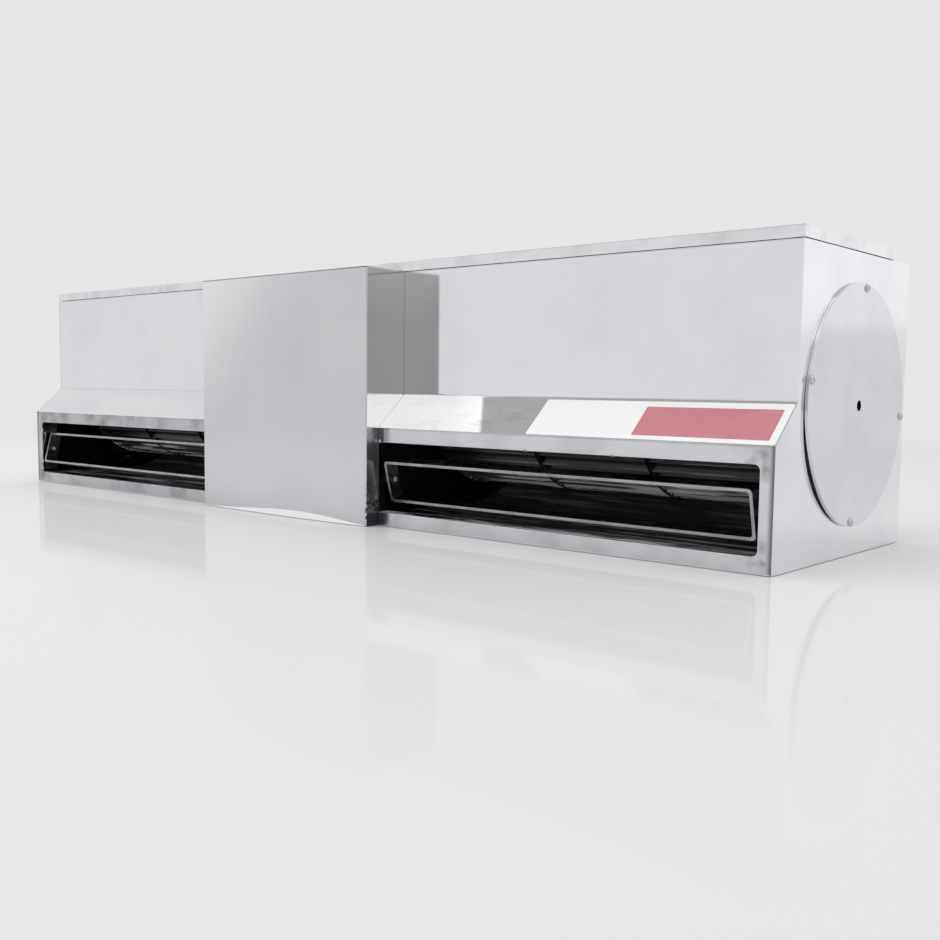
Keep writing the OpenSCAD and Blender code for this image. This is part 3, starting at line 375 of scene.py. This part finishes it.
# The blades end 98.5 mm from the axis, and the rings 100 mm; the rings get no painted highlight
painted_edge_highlight = add(tree, "MapRange", {"Value": wider, "From Min": 0.0966, "From Max": 0.0980})
blades = add(tree, "Math", {0: radius, 1: 0.0992}, operation="LESS_THAN")
bright = add(tree, "Math", {0: painted_edge_highlight, 1: blades}, operation="MULTIPLY")
amount = add(tree, "MapRange", {"Value": nozzle_height_light, "To Min": 0.14, "To Max": 1.0})
bright = add(tree, "Math", {0: bright, 1: amount}, operation="MULTIPLY")
# Each edge's painted highlight is broken into lengths at random
highlight_breaks = add(tree, "Mapping", {"Vector": place, "Scale": pattern_scale(110, 4, 4)})
highlight_breaks = add(tree, "TexNoise", {"Vector": highlight_breaks, "Scale": 1.0, "Detail": 3.0})
highlight_breaks = add(tree, "MapRange", {"Value": highlight_breaks, "From Min": 0.49, "From Max": 0.55, "To Min": 0.08})
bright = add(tree, "Math", {0: bright, 1: highlight_breaks}, operation="MULTIPLY")
stretched = add(tree, "Mapping", {"Vector": place, "Scale": pattern_scale(40, 2, 2)})
drawn = add(tree, "TexNoise", {"Vector": stretched, "Scale": 1.0, "Detail": 3.0})
tone = add(tree, "Mix", {"Factor": bright, "A": linear("#1C1D1F"), "B": linear("#F4F5F7")}, data_type="RGBA")
rough = add(tree, "MapRange", {"Value": drawn, "To Min": 0.2, "To Max": 0.4})
feed(tree, shader, {"Base Color": tone, "Roughness": rough})
dress(aluminium, "impeller_left", "impeller_right")
dress(black_paint, "drive_disc_left", "drive_disc_right", "end_disc_left", "end_disc_right")


# ---- End panels ----
# Flat stainless plates with an access opening for the impeller and its bearing, and folded flanges
# inside. The grain runs up the plate. Their cut edges show as a dark line beside the nozzle frame.

# Places closer than this, in metres, count as the same
same = 1e-5


def cad_copy(name):
    """A CAD node's shape with its doubled points merged and its flat faces joined."""
    bm = bmesh.new()
    bm.from_mesh(nodes[name].data)
    bmesh.ops.remove_doubles(bm, verts=bm.verts, dist=same)
    bmesh.ops.dissolve_limit(bm, angle_limit=math.radians(1), verts=bm.verts, edges=bm.edges)
    return bm


def round_edges(bm, radius, segments, wanted):
    """Rounds the sharp edges whose two ends pass the test."""
    sharp = [e for e in bm.edges if e.is_manifold and e.calc_face_angle(0) > math.radians(40)
             and wanted(e.verts[0].co) and wanted(e.verts[1].co)]
    bmesh.ops.bevel(bm, geom=sharp, offset=radius, offset_type="OFFSET", segments=segments, profile=0.5,
                    affect="EDGES", material=-1, clamp_overlap=True)


def piece(name, bm, finishes, body, slot, *replaced):
    """Turns a bmesh into a shown piece that rides on a CAD body and stands for CAD nodes."""
    mesh = bpy.data.meshes.new(name)
    bm.to_mesh(mesh)
    bm.free()
    if "custom_normal" in mesh.attributes:
        mesh.attributes.remove(mesh.attributes["custom_normal"])
    for finish in finishes:
        mesh.materials.append(finish)
    mesh.shade_smooth()
    mesh.set_sharp_from_angle(angle=math.radians(24))
    made = bpy.data.objects.new(name, mesh)
    scene.collection.objects.link(made)
    flat = made.modifiers.new("flat_faces", "WEIGHTED_NORMAL")
    flat.keep_sharp = True
    flat.weight = 100
    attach(made, body)
    if replaced:
        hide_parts(*replaced)


rolled_upward = (1.2, 1.2, 60)
end_steel = rolled_steel("stainless_end_plate", "#F4F3F7", "#EBEAEF", 0.08, 0.16, 90, 0.5, rolled_upward)[0]
cut_edge, tree, shader, place = surface("sheared_steel_edge", "#77767B", 1.0, 0.45)
burrs = add(tree, "TexNoise", {"Vector": place, "Scale": 1000 / 4, "Detail": 3.0})
tone = add(tree, "Mix", {"Factor": burrs, "A": linear("#4C4B50"), "B": linear("#A3A2A7")}, data_type="RGBA")
feed(tree, shader, {"Base Color": tone})
# Inside, the plates are coloured nearly black as painted shade, in clouds of 20 mm
inside_painted_shade, tree, shader, place = surface("steel_with_painted_shade_inside", "#26272A", 1.0, 0.45)
clouds = add(tree, "TexNoise", {"Vector": place, "Scale": 1000 / 20, "Detail": 4.0})
tone = add(tree, "Mix", {"Factor": clouds, "A": linear("#17181A"), "B": linear("#37383B")}, data_type="RGBA")
feed(tree, shader, {"Base Color": tone})
plate_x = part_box("end_panel_right")[1].x
for side, turn in (("left", -1), ("right", 1)):
    bm = cad_copy(f"end_panel_{side}")
    round_edges(bm, 0.0004, 2, lambda co: abs(co.x - turn * plate_x) < same)
    for f in bm.faces:
        if f.normal.y < -0.9 and f.calc_center_median().z < slope_foot.z:
            f.material_index = 1
        elif f.normal.x * turn < -0.5:
            f.material_index = 2
    piece(f"end_plate_{side}", bm, [end_steel, cut_edge, inside_painted_shade], "casing", "panel_steel", f"end_panel_{side}")


# ---- End covers ----
# Round stainless blanks with a pressed rim, on a rubber gasket, each held by four screws, with a hole in
# the middle. The thin sheet has sprung between its front and lowest screws and stands off the plate there.

blank_steel = rolled_steel("stainless_blank", "#E5E4E9", "#DAD9DE", 0.08, 0.14, 90, 0.6, rolled_upward)[0]
cover_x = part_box("end_cover_right")[1].x
cover_radius = 0.112
spring_radius = 0.04
spring_reach = 0.0017
screw_circle = 0.1075
screw_angles = (86, 168, 265, 354)
for side, turn in (("left", -1), ("right", 1)):
    bm = bmesh.new()
    outline = [(cover_x, r / 1000) for r in (5, 20, 40, 60, 75, 85, 92, 98, 103, 107, 110, 111.2)]
    outline += [(cover_x - 0.0002, cover_radius - 0.0002), (cover_x - 0.0006, cover_radius),
                (cover_x - 0.0028, cover_radius)]
    line = [bm.verts.new((x, -r, axis.z)) for x, r in outline]
    for near, far in zip(line, line[1:]):
        bm.edges.new((near, far))
    bmesh.ops.spin(bm, geom=list(bm.verts) + list(bm.edges), cent=(cover_x, 0, axis.z), axis=(1, 0, 0),
                   dvec=(0, 0, 0), angle=2 * math.pi, steps=128, use_merge=True)
    bmesh.ops.remove_doubles(bm, verts=bm.verts, dist=1e-6)
    for v in bm.verts:
        reach = Vector((v.co.y, v.co.z - axis.z))
        out = max(0.0, (reach.length - spring_radius) / (cover_radius - spring_radius))
        angle = math.degrees(math.atan2(reach.y, reach.x)) % 360
        along = (angle - screw_angles[1]) / (screw_angles[2] - screw_angles[1])
        if 0 < along < 1:
            v.co.x += spring_reach * out ** 2 * math.sin(math.pi * along) ** 2
    bmesh.ops.recalc_face_normals(bm, faces=bm.faces)
    if sum(f.normal.x for f in bm.faces) < 0:
        bmesh.ops.reverse_faces(bm, faces=bm.faces)
    bmesh.ops.solidify(bm, geom=list(bm.faces), thickness=0.0008)
    if turn < 0:
        bmesh.ops.scale(bm, vec=(-1, 1, 1), verts=bm.verts)
        bmesh.ops.reverse_faces(bm, faces=bm.faces)
    piece(f"end_blank_{side}", bm, [blank_steel], "casing", "panel_steel", f"end_cover_{side}")


def pan_head(bm, place, shank):
    """Adds a cross-recessed pan-head screw, its head pointing along the place's own +Z, with its shank."""
    head = bmesh.new()
    dome = ((0, 2.3), (0.5, 2.3), (1.5, 2.2), (2.1, 2.08), (3.0, 1.7), (3.7, 1.0), (4.0, 0.3), (4.0, 0))
    stem = ((2.2, 0), (2.2, -shank), (0, -shank))
    line = [head.verts.new((r / 1000, 0, z / 1000)) for r, z in dome + stem]
    for near, far in zip(line, line[1:]):
        head.edges.new((near, far))
    bmesh.ops.spin(head, geom=list(head.verts) + list(head.edges), cent=(0, 0, 0), axis=(0, 0, 1),
                   dvec=(0, 0, 0), angle=2 * math.pi, steps=32, use_merge=True)
    bmesh.ops.remove_doubles(head, verts=head.verts, dist=1e-6)
    # The cross is pressed in along the head's two middle lines, and deepest in its middle
    for v in head.verts:
        on_cross = min(abs(v.co.x), abs(v.co.y)) < same
        if on_cross and v.co.z > 0.0021:
            v.co.z -= 0.0012 if v.co.xy.length < 0.0012 else 0.0008
    bmesh.ops.recalc_face_normals(head, faces=head.faces)
    head.transform(place)
    made = bpy.data.meshes.new("screw")
    head.to_mesh(made)
    head.free()
    bm.from_mesh(made)
    bpy.data.meshes.remove(made)


# Old zinc plating, clouded in spots of 3 mm
weathered_zinc, tree, shader, place = surface("weathered_zinc", "#C3C4C8", 0.8, 0.3)
haze = add(tree, "TexNoise", {"Vector": place, "Scale": 1000 / 3, "Detail": 3.0})
tone = add(tree, "Mix", {"Factor": haze, "A": linear("#A6A7AB"), "B": linear("#E6E7EA")}, data_type="RGBA")
rough = add(tree, "MapRange", {"Value": haze, "To Min": 0.2, "To Max": 0.5})
feed(tree, shader, {"Base Color": tone, "Roughness": rough})
bm = bmesh.new()
for turn in (-1, 1):
    for angle in screw_angles:
        reach = math.radians(angle)
        spot = axis + Vector((turn * cover_x, screw_circle * math.cos(reach), screw_circle * math.sin(reach)))
        outward = Matrix.Rotation(turn * quarter_turn, 4, "Y")
        pan_head(bm, Matrix.Translation(spot) @ outward @ Matrix.Rotation(reach * 3, 4, "Z"), 8)
piece("end_cover_screw_heads", bm, [weathered_zinc], "casing", "zinc", "end_cover_screws")


# ---- Front panels ----
# Stainless sheets that come down the upper front and fold forward into the slope over the nozzle. The
# bend is tight, with a radius of about 2 mm. This is the brightest polish on the unit.

front_steel, tree, shader, place, tone = rolled_steel(
    "polished_stainless", "#F0EFF3", "#E8E7EC", 0.03, 0.06, 120, 0.25)
# Hands and tools have left slanting smudges on the slope, below the bend, mostly on the right
parts = add(tree, "SeparateXYZ", {0: place}).outputs
slope = add(tree, "Math", {0: parts["Z"], 1: slope_head.z}, operation="LESS_THAN")
slanted = add(tree, "Mapping", {"Vector": place, "Rotation": (0, 0.5, 0), "Scale": pattern_scale(45, 20, 14)})
smudges_and_painted_shade = add(tree, "TexNoise", {"Vector": slanted, "Scale": 1.0, "Detail": 5.0, "Roughness": 0.65})
smudges_and_painted_shade = add(tree, "MapRange", {"Value": smudges_and_painted_shade, "From Min": 0.52, "From Max": 0.76, "To Max": 0.4})
right_half = add(tree, "MapRange", {"Value": parts["X"], "From Min": -0.1, "From Max": 0.1, "To Min": 0.25})
smudges_and_painted_shade = add(tree, "Math", {0: smudges_and_painted_shade, 1: slope}, operation="MULTIPLY")
smudges_and_painted_shade = add(tree, "Math", {0: smudges_and_painted_shade, 1: right_half}, operation="MULTIPLY")
# The crease of the bend is drawn a little darker as painted shade, and the left panel's cut edge is dull
crease = add(tree, "Math", {0: parts["Z"], 1: slope_head.z + 0.0002, 2: 0.0009}, operation="COMPARE")
crease = add(tree, "Math", {0: crease, 1: 0.22}, operation="MULTIPLY")
trim = add(tree, "MapRange", {"Value": parts["X"], "From Min": 0.0018 - panel_high.x,
                              "From Max": 0.0003 - panel_high.x, "To Max": 0.7})
smudges_and_painted_shade = add(tree, "Math", {0: smudges_and_painted_shade, 1: crease}, operation="MAXIMUM")
smudges_and_painted_shade = add(tree, "Math", {0: smudges_and_painted_shade, 1: trim}, operation="MAXIMUM")
smudged_with_painted_shade = add(tree, "Mix", {"Factor": smudges_and_painted_shade, "A": tone, "B": linear("#A9A8AD")}, data_type="RGBA")
feed(tree, shader, {"Base Color": smudged_with_painted_shade})
for side in ("left", "right"):
    bm = cad_copy(f"front_panel_{side}")
    round_edges(bm, 0.0022, 5, lambda co: abs(co.y - front_y - 0.0006) < 0.002 and co.z < 0.2)
    piece(f"front_sheet_{side}", bm, [front_steel], "casing", "stainless", f"front_panel_{side}")


# ---- Nozzle frames ----
# Stainless frames round the discharge openings. The opening's edge is folded back into a throat, and the
# corners are welded and ground, which leaves dull smudges and a few beads.

mouth_middle = Vector((0.3729, 0, 0.053))
mouth_half = Vector((0.2237, 0, 0.038))
mouth_bottom = mouth_middle.z - mouth_half.z
mouth_top = mouth_middle.z + mouth_half.z
# The left frame is the same steel drawn darker than the right as painted shade, and its painted streaks are
# fainter
for side, bright, dull, painted_streaking in (("left", "#C4C3C8", "#96959A", 0.3), ("right", "#DBDADF", "#C6C5CA", 1.0)):
    nose_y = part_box(f"nozzle_frame_{side}")[0].y
    frame_steel, tree, shader, place, tone = rolled_steel(
        f"ground_stainless_{side}", bright, dull, 0.1, 0.26, 45, 0.4)
    # The welds have burned the frame in spots of 14 mm, within 20 mm of the opening's corners
    mirrored = add(tree, "VectorMath", {0: place}, operation="ABSOLUTE")
    parts = add(tree, "SeparateXYZ", {0: mirrored}).outputs
    from_middle = add(tree, "VectorMath", {0: mirrored, 1: mouth_middle}, operation="SUBTRACT")
    from_middle = add(tree, "VectorMath", {0: from_middle}, operation="ABSOLUTE")
    from_corner = add(tree, "VectorMath", {0: from_middle, 1: mouth_half}, operation="SUBTRACT")
    from_corner = add(tree, "VectorMath", {0: from_corner, 1: (1, 0, 1)}, operation="MULTIPLY")
    from_corner = add(tree, "VectorMath", {0: from_corner}, operation="LENGTH")
    near = add(tree, "MapRange", {"Value": from_corner, "From Min": 0.020, "From Max": 0.004})
    burn = add(tree, "TexNoise", {"Vector": place, "Scale": 1000 / 14, "Detail": 4.0})
    burn = add(tree, "MapRange", {"Value": burn, "From Min": 0.42, "From Max": 0.68})
    burn = add(tree, "Math", {0: near, 1: burn}, operation="MULTIPLY")
    # The seam with the end panel is ground dull over its last 4 mm
    seam = add(tree, "MapRange", {"Value": parts["X"], "From Min": panel_high.x - 0.0043,
                                  "From Max": panel_high.x - 0.0003})
    burn = add(tree, "Math", {0: burn, 1: seam}, operation="MAXIMUM")
    ground = add(tree, "Mix", {"Factor": burn, "A": tone, "B": linear("#807F84")}, data_type="RGBA")
    # Beside the motor cover a patch 8 mm wide is a painted dark reflection of the cover, mostly over the
    # opening
    painted_cover_reflection = add(tree, "MapRange", {"Value": parts["X"], "From Min": panel_low.x + 0.0086,
                                   "From Max": panel_low.x + 0.0074})
    height = add(tree, "MapRange", {"Value": parts["Z"], "From Min": 0.02, "From Max": 0.09,
                                    "To Min": 0.3, "To Max": 0.9})
    painted_cover_reflection = add(tree, "Math", {0: painted_cover_reflection, 1: height}, operation="MULTIPLY")
    ground = add(tree, "Mix", {"Factor": painted_cover_reflection, "A": ground, "B": linear("#605F64")}, data_type="RGBA")
    # Pale streaks on the lower lip's upper side, behind its front edge, are painted reflections of the blades
    level = add(tree, "Math", {0: parts["Z"], 1: mouth_bottom, 2: 0.0003}, operation="COMPARE")
    behind = add(tree, "Math", {0: parts["Y"], 1: -nose_y - 0.0013}, operation="LESS_THAN")
    lip = add(tree, "Math", {0: level, 1: behind}, operation="MULTIPLY")
    stretched = add(tree, "Mapping", {"Vector": place, "Scale": pattern_scale(90, 6, 1000)})
    painted_blade_reflections = add(tree, "TexNoise", {"Vector": stretched, "Scale": 1.0, "Detail": 2.0})
    painted_blade_reflections = add(tree, "MapRange", {"Value": painted_blade_reflections, "From Min": 0.49, "From Max": 0.56, "To Max": painted_streaking})
    painted_blade_reflections = add(tree, "Math", {0: painted_blade_reflections, 1: lip}, operation="MULTIPLY")
    ground = add(tree, "Mix", {"Factor": painted_blade_reflections, "A": ground, "B": linear("#F4F4F5")}, data_type="RGBA")
    metal = add(tree, "MapRange", {"Value": painted_blade_reflections, "To Min": 1.0, "To Max": 0.0})
    feed(tree, shader, {"Metallic": metal, "Base Color": ground})
    bm = cad_copy(f"nozzle_frame_{side}")
    round_edges(bm, 0.0011, 4, lambda co: abs(co.y - nose_y) < same and abs(co.x) < 0.598
                and mouth_bottom - 0.001 < co.z < mouth_top + 0.001)
    piece(f"nozzle_rim_{side}", bm, [frame_steel], "casing", "stainless", f"nozzle_frame_{side}")

# Beads of weld left on the upper edge of each opening, with their places and radii in millimetres
bm = bmesh.new()
for x, size in ((252.7, 1.5), (352.1, 1.9), (452.4, 1.6), (533.2, 1.0), (154.5, 1.2),
                (-252.7, 1.4), (-352.1, 1.2), (-452.4, 1.5), (-596.2, 1.3)):
    spot = Matrix.Translation((x / 1000, nose_y + 0.0006, mouth_top + 0.0002))
    bmesh.ops.create_icosphere(bm, subdivisions=2, radius=size / 1000,
                               matrix=spot @ Matrix.Diagonal((1.3, 0.6, 0.7, 1)))
piece("weld_beads", bm, [cut_edge], "casing", "stainless")

# Bright droplets of weld at the left opening's outer end and beside the motor cover, in millimetres
bm = bmesh.new()
for x, z, size in ((-595.8, 79, 2.5), (-595.8, 46, 1.6), (-595.8, 31, 2.2), (-595.8, 20, 1.8),
                   (150.5, 92.5, 2.0)):
    spot = Matrix.Translation((x / 1000, nose_y + 0.0005, z / 1000))
    bmesh.ops.create_icosphere(bm, subdivisions=2, radius=size / 1000,
                               matrix=spot @ Matrix.Diagonal((0.8, 0.6, 1.2, 1)))
piece("weld_droplets", bm, [weathered_zinc], "casing", "stainless")


# ---- Vanes ----
# Light frames bent from stainless strip with a lip along the front, each on two pivot screws with
# dark nylon spacers. They tilt the air stream in or out.

vane_steel = rolled_steel("dulled_stainless_strip", "#B5B4B9", "#95949A", 0.14, 0.3, 40, 0.3)[0]
for side in ("left", "right"):
    bm = cad_copy(f"vane_{side}")
    round_edges(bm, 0.0003, 2, lambda co: True)
    piece(f"vane_frame_{side}", bm, [vane_steel], f"{side}_vane", "stainless", f"vane_{side}")

# The pivot screw heads are drawn dark as painted shade, with a painted highlight of 5 mm on each
pins_low, pins_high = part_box("vane_pivots_right")
pivot = (pins_low + pins_high) / 2
zinc_with_painted_highlight, tree, shader, place = surface("zinc_with_painted_highlight", "#8C8D91", 0.5, 0.3)
from_pin = add(tree, "VectorMath", {0: place, 1: pivot}, operation="SUBTRACT")
from_pin = add(tree, "VectorMath", {0: from_pin, 1: (0, 1, 1)}, operation="MULTIPLY")
from_pin = add(tree, "VectorMath", {0: from_pin}, operation="LENGTH")
spot = add(tree, "MapRange", {"Value": from_pin, "From Min": 0.0032, "From Max": 0.0022})
tone = add(tree, "Mix", {"Factor": spot, "A": linear("#4C4D51"), "B": linear("#FAFAFA")}, data_type="RGBA")
feed(tree, shader, {"Base Color": tone})
dress(zinc_with_painted_highlight, "vane_pivots_left", "vane_pivots_right")

# Moulded nylon, with the mould's grain of 0.8 mm
black_nylon, tree, shader, place = surface("black_moulded_nylon", "#2C2D2F", 0.0, 0.5)
peel = add(tree, "TexNoise", {"Vector": place, "Scale": 1000 / 0.8, "Detail": 2.0})
skin = add(tree, "Bump", {"Height": peel, "Distance": 0.00006})
feed(tree, shader, {"Normal": skin})
dress(black_nylon, "vane_spacers")


# ---- Motor cover ----
# A deep stainless box over the motor bay, folded from one sheet with tabs behind the casing's edges.
# It has a duller satin finish than the panels, and its lower front bend opens out towards the middle.

box_low, box_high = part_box("motor_cover")
cover_steel, tree, shader, place, tone = rolled_steel(
    "satin_stainless", "#D7D6DA", "#D2D1D6", 0.05, 0.08, 120, 0.25)
# The sheet is drawn a little brighter towards its upper left corner, and at the top of its side, as painted
# light
parts = add(tree, "SeparateXYZ", {0: place}).outputs
slant = add(tree, "Math", {0: parts["Z"], 1: parts["X"]}, operation="SUBTRACT")
upper = add(tree, "MapRange", {"Value": slant, "From Min": 0.2, "From Max": 0.42},
            interpolation_type="SMOOTHSTEP")
painted_light_tone = add(tree, "Mix", {"Factor": upper, "A": tone, "B": linear("#F2F1F4")}, data_type="RGBA")
flank = add(tree, "Math", {0: parts["X"], 1: box_high.x - 0.0001}, operation="GREATER_THAN")
high_part = add(tree, "MapRange", {"Value": parts["Z"], "From Min": 0.225, "From Max": 0.28})
high_part = add(tree, "Math", {0: high_part, 1: flank}, operation="MULTIPLY")
painted_light_tone = add(tree, "Mix", {"Factor": high_part, "A": painted_light_tone, "B": linear("#EBEAEE")}, data_type="RGBA")
# Its side is darker along the foot, and the lower right corner has dark burrs
foot = add(tree, "MapRange", {"Value": parts["Z"], "From Min": 0.021, "From Max": 0.013})
foot_and_burr_darkening = add(tree, "Math", {0: foot, 1: flank}, operation="MULTIPLY")
brink = add(tree, "MapRange", {"Value": parts["X"], "From Min": box_high.x - 0.0022,
                               "From Max": box_high.x - 0.0004})
low_part = add(tree, "MapRange", {"Value": parts["Z"], "From Min": 0.055, "From Max": 0.015})
flakes = add(tree, "TexNoise", {"Vector": place, "Scale": 1000 / 4, "Detail": 3.0})
flakes = add(tree, "MapRange", {"Value": flakes, "From Min": 0.47, "From Max": 0.55})
burr = add(tree, "Math", {0: brink, 1: low_part}, operation="MULTIPLY")
burr = add(tree, "Math", {0: burr, 1: flakes}, operation="MULTIPLY")
foot_and_burr_darkening = add(tree, "Math", {0: foot_and_burr_darkening, 1: burr}, operation="MAXIMUM")
marked = add(tree, "Mix", {"Factor": foot_and_burr_darkening, "A": painted_light_tone, "B": linear("#4A494E")}, data_type="RGBA")
# The low part of its side is smeared dull, so that it doesn't mirror the nozzle beside it
smeared = add(tree, "MapRange", {"Value": parts["Z"], "From Min": 0.112, "From Max": 0.100})
smeared = add(tree, "Math", {0: smeared, 1: flank}, operation="MULTIPLY")
satin = shader.inputs["Roughness"].links[0].from_socket
satin = add(tree, "Math", {0: smeared, 1: 0.25, 2: satin}, operation="MULTIPLY_ADD")
feed(tree, shader, {"Base Color": marked, "Roughness": satin})

# The hem is drawn near white as a painted highlight, though it is the same sheet as the cover
hem_painted_highlight = rolled_steel("stainless_with_painted_highlight", "#FEFDFF", "#FAF9FC", 0.08, 0.16, 40, 0.2)[0]
# The chamfer along the top front is drawn darker as painted shade
chamfer_painted_shade = rolled_steel("stainless_with_painted_shade", "#A5A4A9", "#8F8E93", 0.1, 0.2, 20, 0.2)[0]
raised = 0.002
hem_height = 0.0074
slices = 24
bm = cad_copy("motor_cover")
for v in bm.verts:
    if v.co.z > box_high.z - 0.0001:
        v.co.z += raised
for x in (box_low.x, box_high.x):
    round_edges(bm, 0.0018, 4, lambda co: abs(co.x - x) < same and co.y < box_low.y + 0.0005)
round_edges(bm, 0.0016, 1, lambda co: co.z > box_high.z + raised - 0.0002)
for f in bm.faces:
    if f.normal.z > 0.3 and f.normal.y < -0.3 and f.calc_center_median().z > 0.275:
        f.material_index = 2
width = box_high.x - box_low.x
cuts = [((box_low.x + width * i / slices, 0, 0), (1, 0, 0)) for i in range(1, slices)]
cuts.append(((0, 0, hem_height), (0, 0, 1)))
for spot, along in cuts:
    bmesh.ops.bisect_plane(bm, geom=list(bm.verts) + list(bm.edges) + list(bm.faces),
                           plane_co=spot, plane_no=along, dist=1e-6)


def in_hem(co):
    """Whether a point is on the front face, within the hem or at its upper edge."""
    return co.y < box_low.y + 0.0002 and co.z < hem_height + 0.0002


for v in bm.verts:
    # The lowest few millimetres flare out, most of all right of the middle
    share = max(0.0, (v.co.x - box_low.x) / width)
    bow = max(0.0, math.sin(math.pi * share ** 1.35)) ** 1.2
    if in_hem(v.co) and v.co.z < same:
        v.co.y -= 0.0034 * bow
    elif in_hem(v.co):
        v.co.z = 0.0008 + 0.0066 * bow
for f in bm.faces:
    if all(in_hem(v.co) for v in f.verts):
        f.material_index = 1
piece("cover_box", bm, [cover_steel, hem_painted_highlight, chamfer_painted_shade], "casing", "stainless", "motor_cover")


# ---- Intake lid ----
# A shallow stainless tray with rows of round-ended slots over each fan section. It stands on spacers
# that leave a thin shadow gap, and pan-headed screws hold it.

lid_steel = rolled_steel("mottled_stainless_lid", "#EFEEF2", "#DCDBE0", 0.1, 0.22, 30, 0.6)[0]
rim_drop = 0.00035
lid_low, lid_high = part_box("intake_lid")
bm = cad_copy("intake_lid")
for v in bm.verts:
    # The rim hangs a little lower than the CAD's, so that the shadow gap is as thin as in the photograph
    if abs(v.co.z - lid_low.z) < same:
        v.co.z -= rim_drop
round_edges(bm, 0.0005, 3, lambda co: co.z > lid_low.z - same and same > min(
    abs(co.x - lid_low.x), abs(co.x - lid_high.x), abs(co.y - lid_low.y), abs(co.y - lid_high.y)))
piece("lid_tray", bm, [lid_steel], "casing", "panel_steel", "intake_lid")

outer_x = lid_high.x - 0.013
inner_x = panel_low.x + 0.013
front_row = lid_low.y + 0.023
back_row = lid_high.y - 0.022
bm = bmesh.new()
places = [(x, y) for x in (-outer_x, -inner_x, inner_x, outer_x) for y in (front_row, back_row)]
for i, (x, y) in enumerate(places):
    pan_head(bm, Matrix.Translation((x, y, lid_high.z)) @ Matrix.Rotation(i * 0.7, 4, "Z"), 14)
piece("lid_screw_heads", bm, [weathered_zinc], "casing", "zinc", "lid_screws")
dress(black_nylon, "lid_standoffs")


# ---- Electrical pieces ----
# A run capacitor in a light grey plastic case, a clamp terminal block of white nylon and a black nylon
# cable gland in the back. The mould leaves them with a faint even texture.

case_plastic, tree, shader, place = surface("grey_polypropylene_case", "#C9CCCE", 0.0, 0.35)
peel = add(tree, "TexNoise", {"Vector": place, "Scale": 1000 / 1, "Detail": 2.0})
skin = add(tree, "Bump", {"Height": peel, "Distance": 0.00005})
feed(tree, shader, {"Normal": skin})
dress(case_plastic, "run_capacitor")

white_nylon, tree, shader, place = surface("white_nylon", "#DCDCD6", 0.0, 0.5)
fog = add(tree, "TexNoise", {"Vector": place, "Scale": 1000 / 6, "Detail": 2.0})
rough = add(tree, "MapRange", {"Value": fog, "To Min": 0.4, "To Max": 0.6})
feed(tree, shader, {"Roughness": rough})
dress(white_nylon, "terminal_block")
dress(black_nylon, "cable_gland", "gland_locknut")


# ---- Sticker ----
# A white vinyl label with a plain dull-red block at its right, stuck on the slope of the right section.
# It is 0.12 mm thick with rounded corners, and its face is smooth and slightly glossy.

def label(name, left, right, low, high, corner, lift, finish):
    """Flat label on the slope between two heights measured up the slope from its lower edge."""
    bm = bmesh.new()
    bmesh.ops.create_grid(bm, x_segments=1, y_segments=1, size=0.5)
    bmesh.ops.scale(bm, vec=(right - left, high - low, 1), verts=bm.verts)
    bmesh.ops.bevel(bm, geom=list(bm.verts), offset=corner, offset_type="OFFSET", segments=5, profile=0.5,
                    affect="VERTICES", material=-1)
    turn = Matrix((Vector((1, 0, 0)), slope_up, slope_out)).transposed().to_4x4()
    centre = slope_foot + slope_up * (low + high) / 2 + slope_out * lift + Vector(((left + right) / 2, 0, 0))
    bm.transform(Matrix.Translation(centre) @ turn)
    bmesh.ops.solidify(bm, geom=list(bm.faces), thickness=0.00012)
    bmesh.ops.recalc_face_normals(bm, faces=bm.faces)
    piece(name, bm, [finish], "casing", "white_plastic")


# Vinyl, scuffed in spots of 12 mm
white_vinyl, tree, shader, place = surface("white_vinyl", "#FEFDFD", 0.0, 0.3)
scuffs = add(tree, "TexNoise", {"Vector": place, "Scale": 1000 / 12, "Detail": 3.0})
rough = add(tree, "MapRange", {"Value": scuffs, "To Min": 0.22, "To Max": 0.4})
feed(tree, shader, {"Roughness": rough})

# Printed red, a little uneven over about 20 mm
red_vinyl, tree, shader, place = surface("dull_red_vinyl", "#D2868F", 0.0, 0.3)
ink = add(tree, "TexNoise", {"Vector": place, "Scale": 1000 / 20, "Detail": 3.0})
tone = add(tree, "Mix", {"Factor": ink, "A": linear("#CF808A"), "B": linear("#D68C95")}, data_type="RGBA")
feed(tree, shader, {"Base Color": tone})

sticker_left = 0.3515
sticker_right = 0.609
sticker_foot = 0.0008
sticker_head = 0.0505
label("sticker", sticker_left, sticker_right, sticker_foot, sticker_head, 0.002, 0.0002, white_vinyl)
label("sticker_block", sticker_left + 0.1175, sticker_right - 0.007, sticker_foot + 0.0052,
      sticker_head - 0.0073, 0.001, 0.00035, red_vinyl)
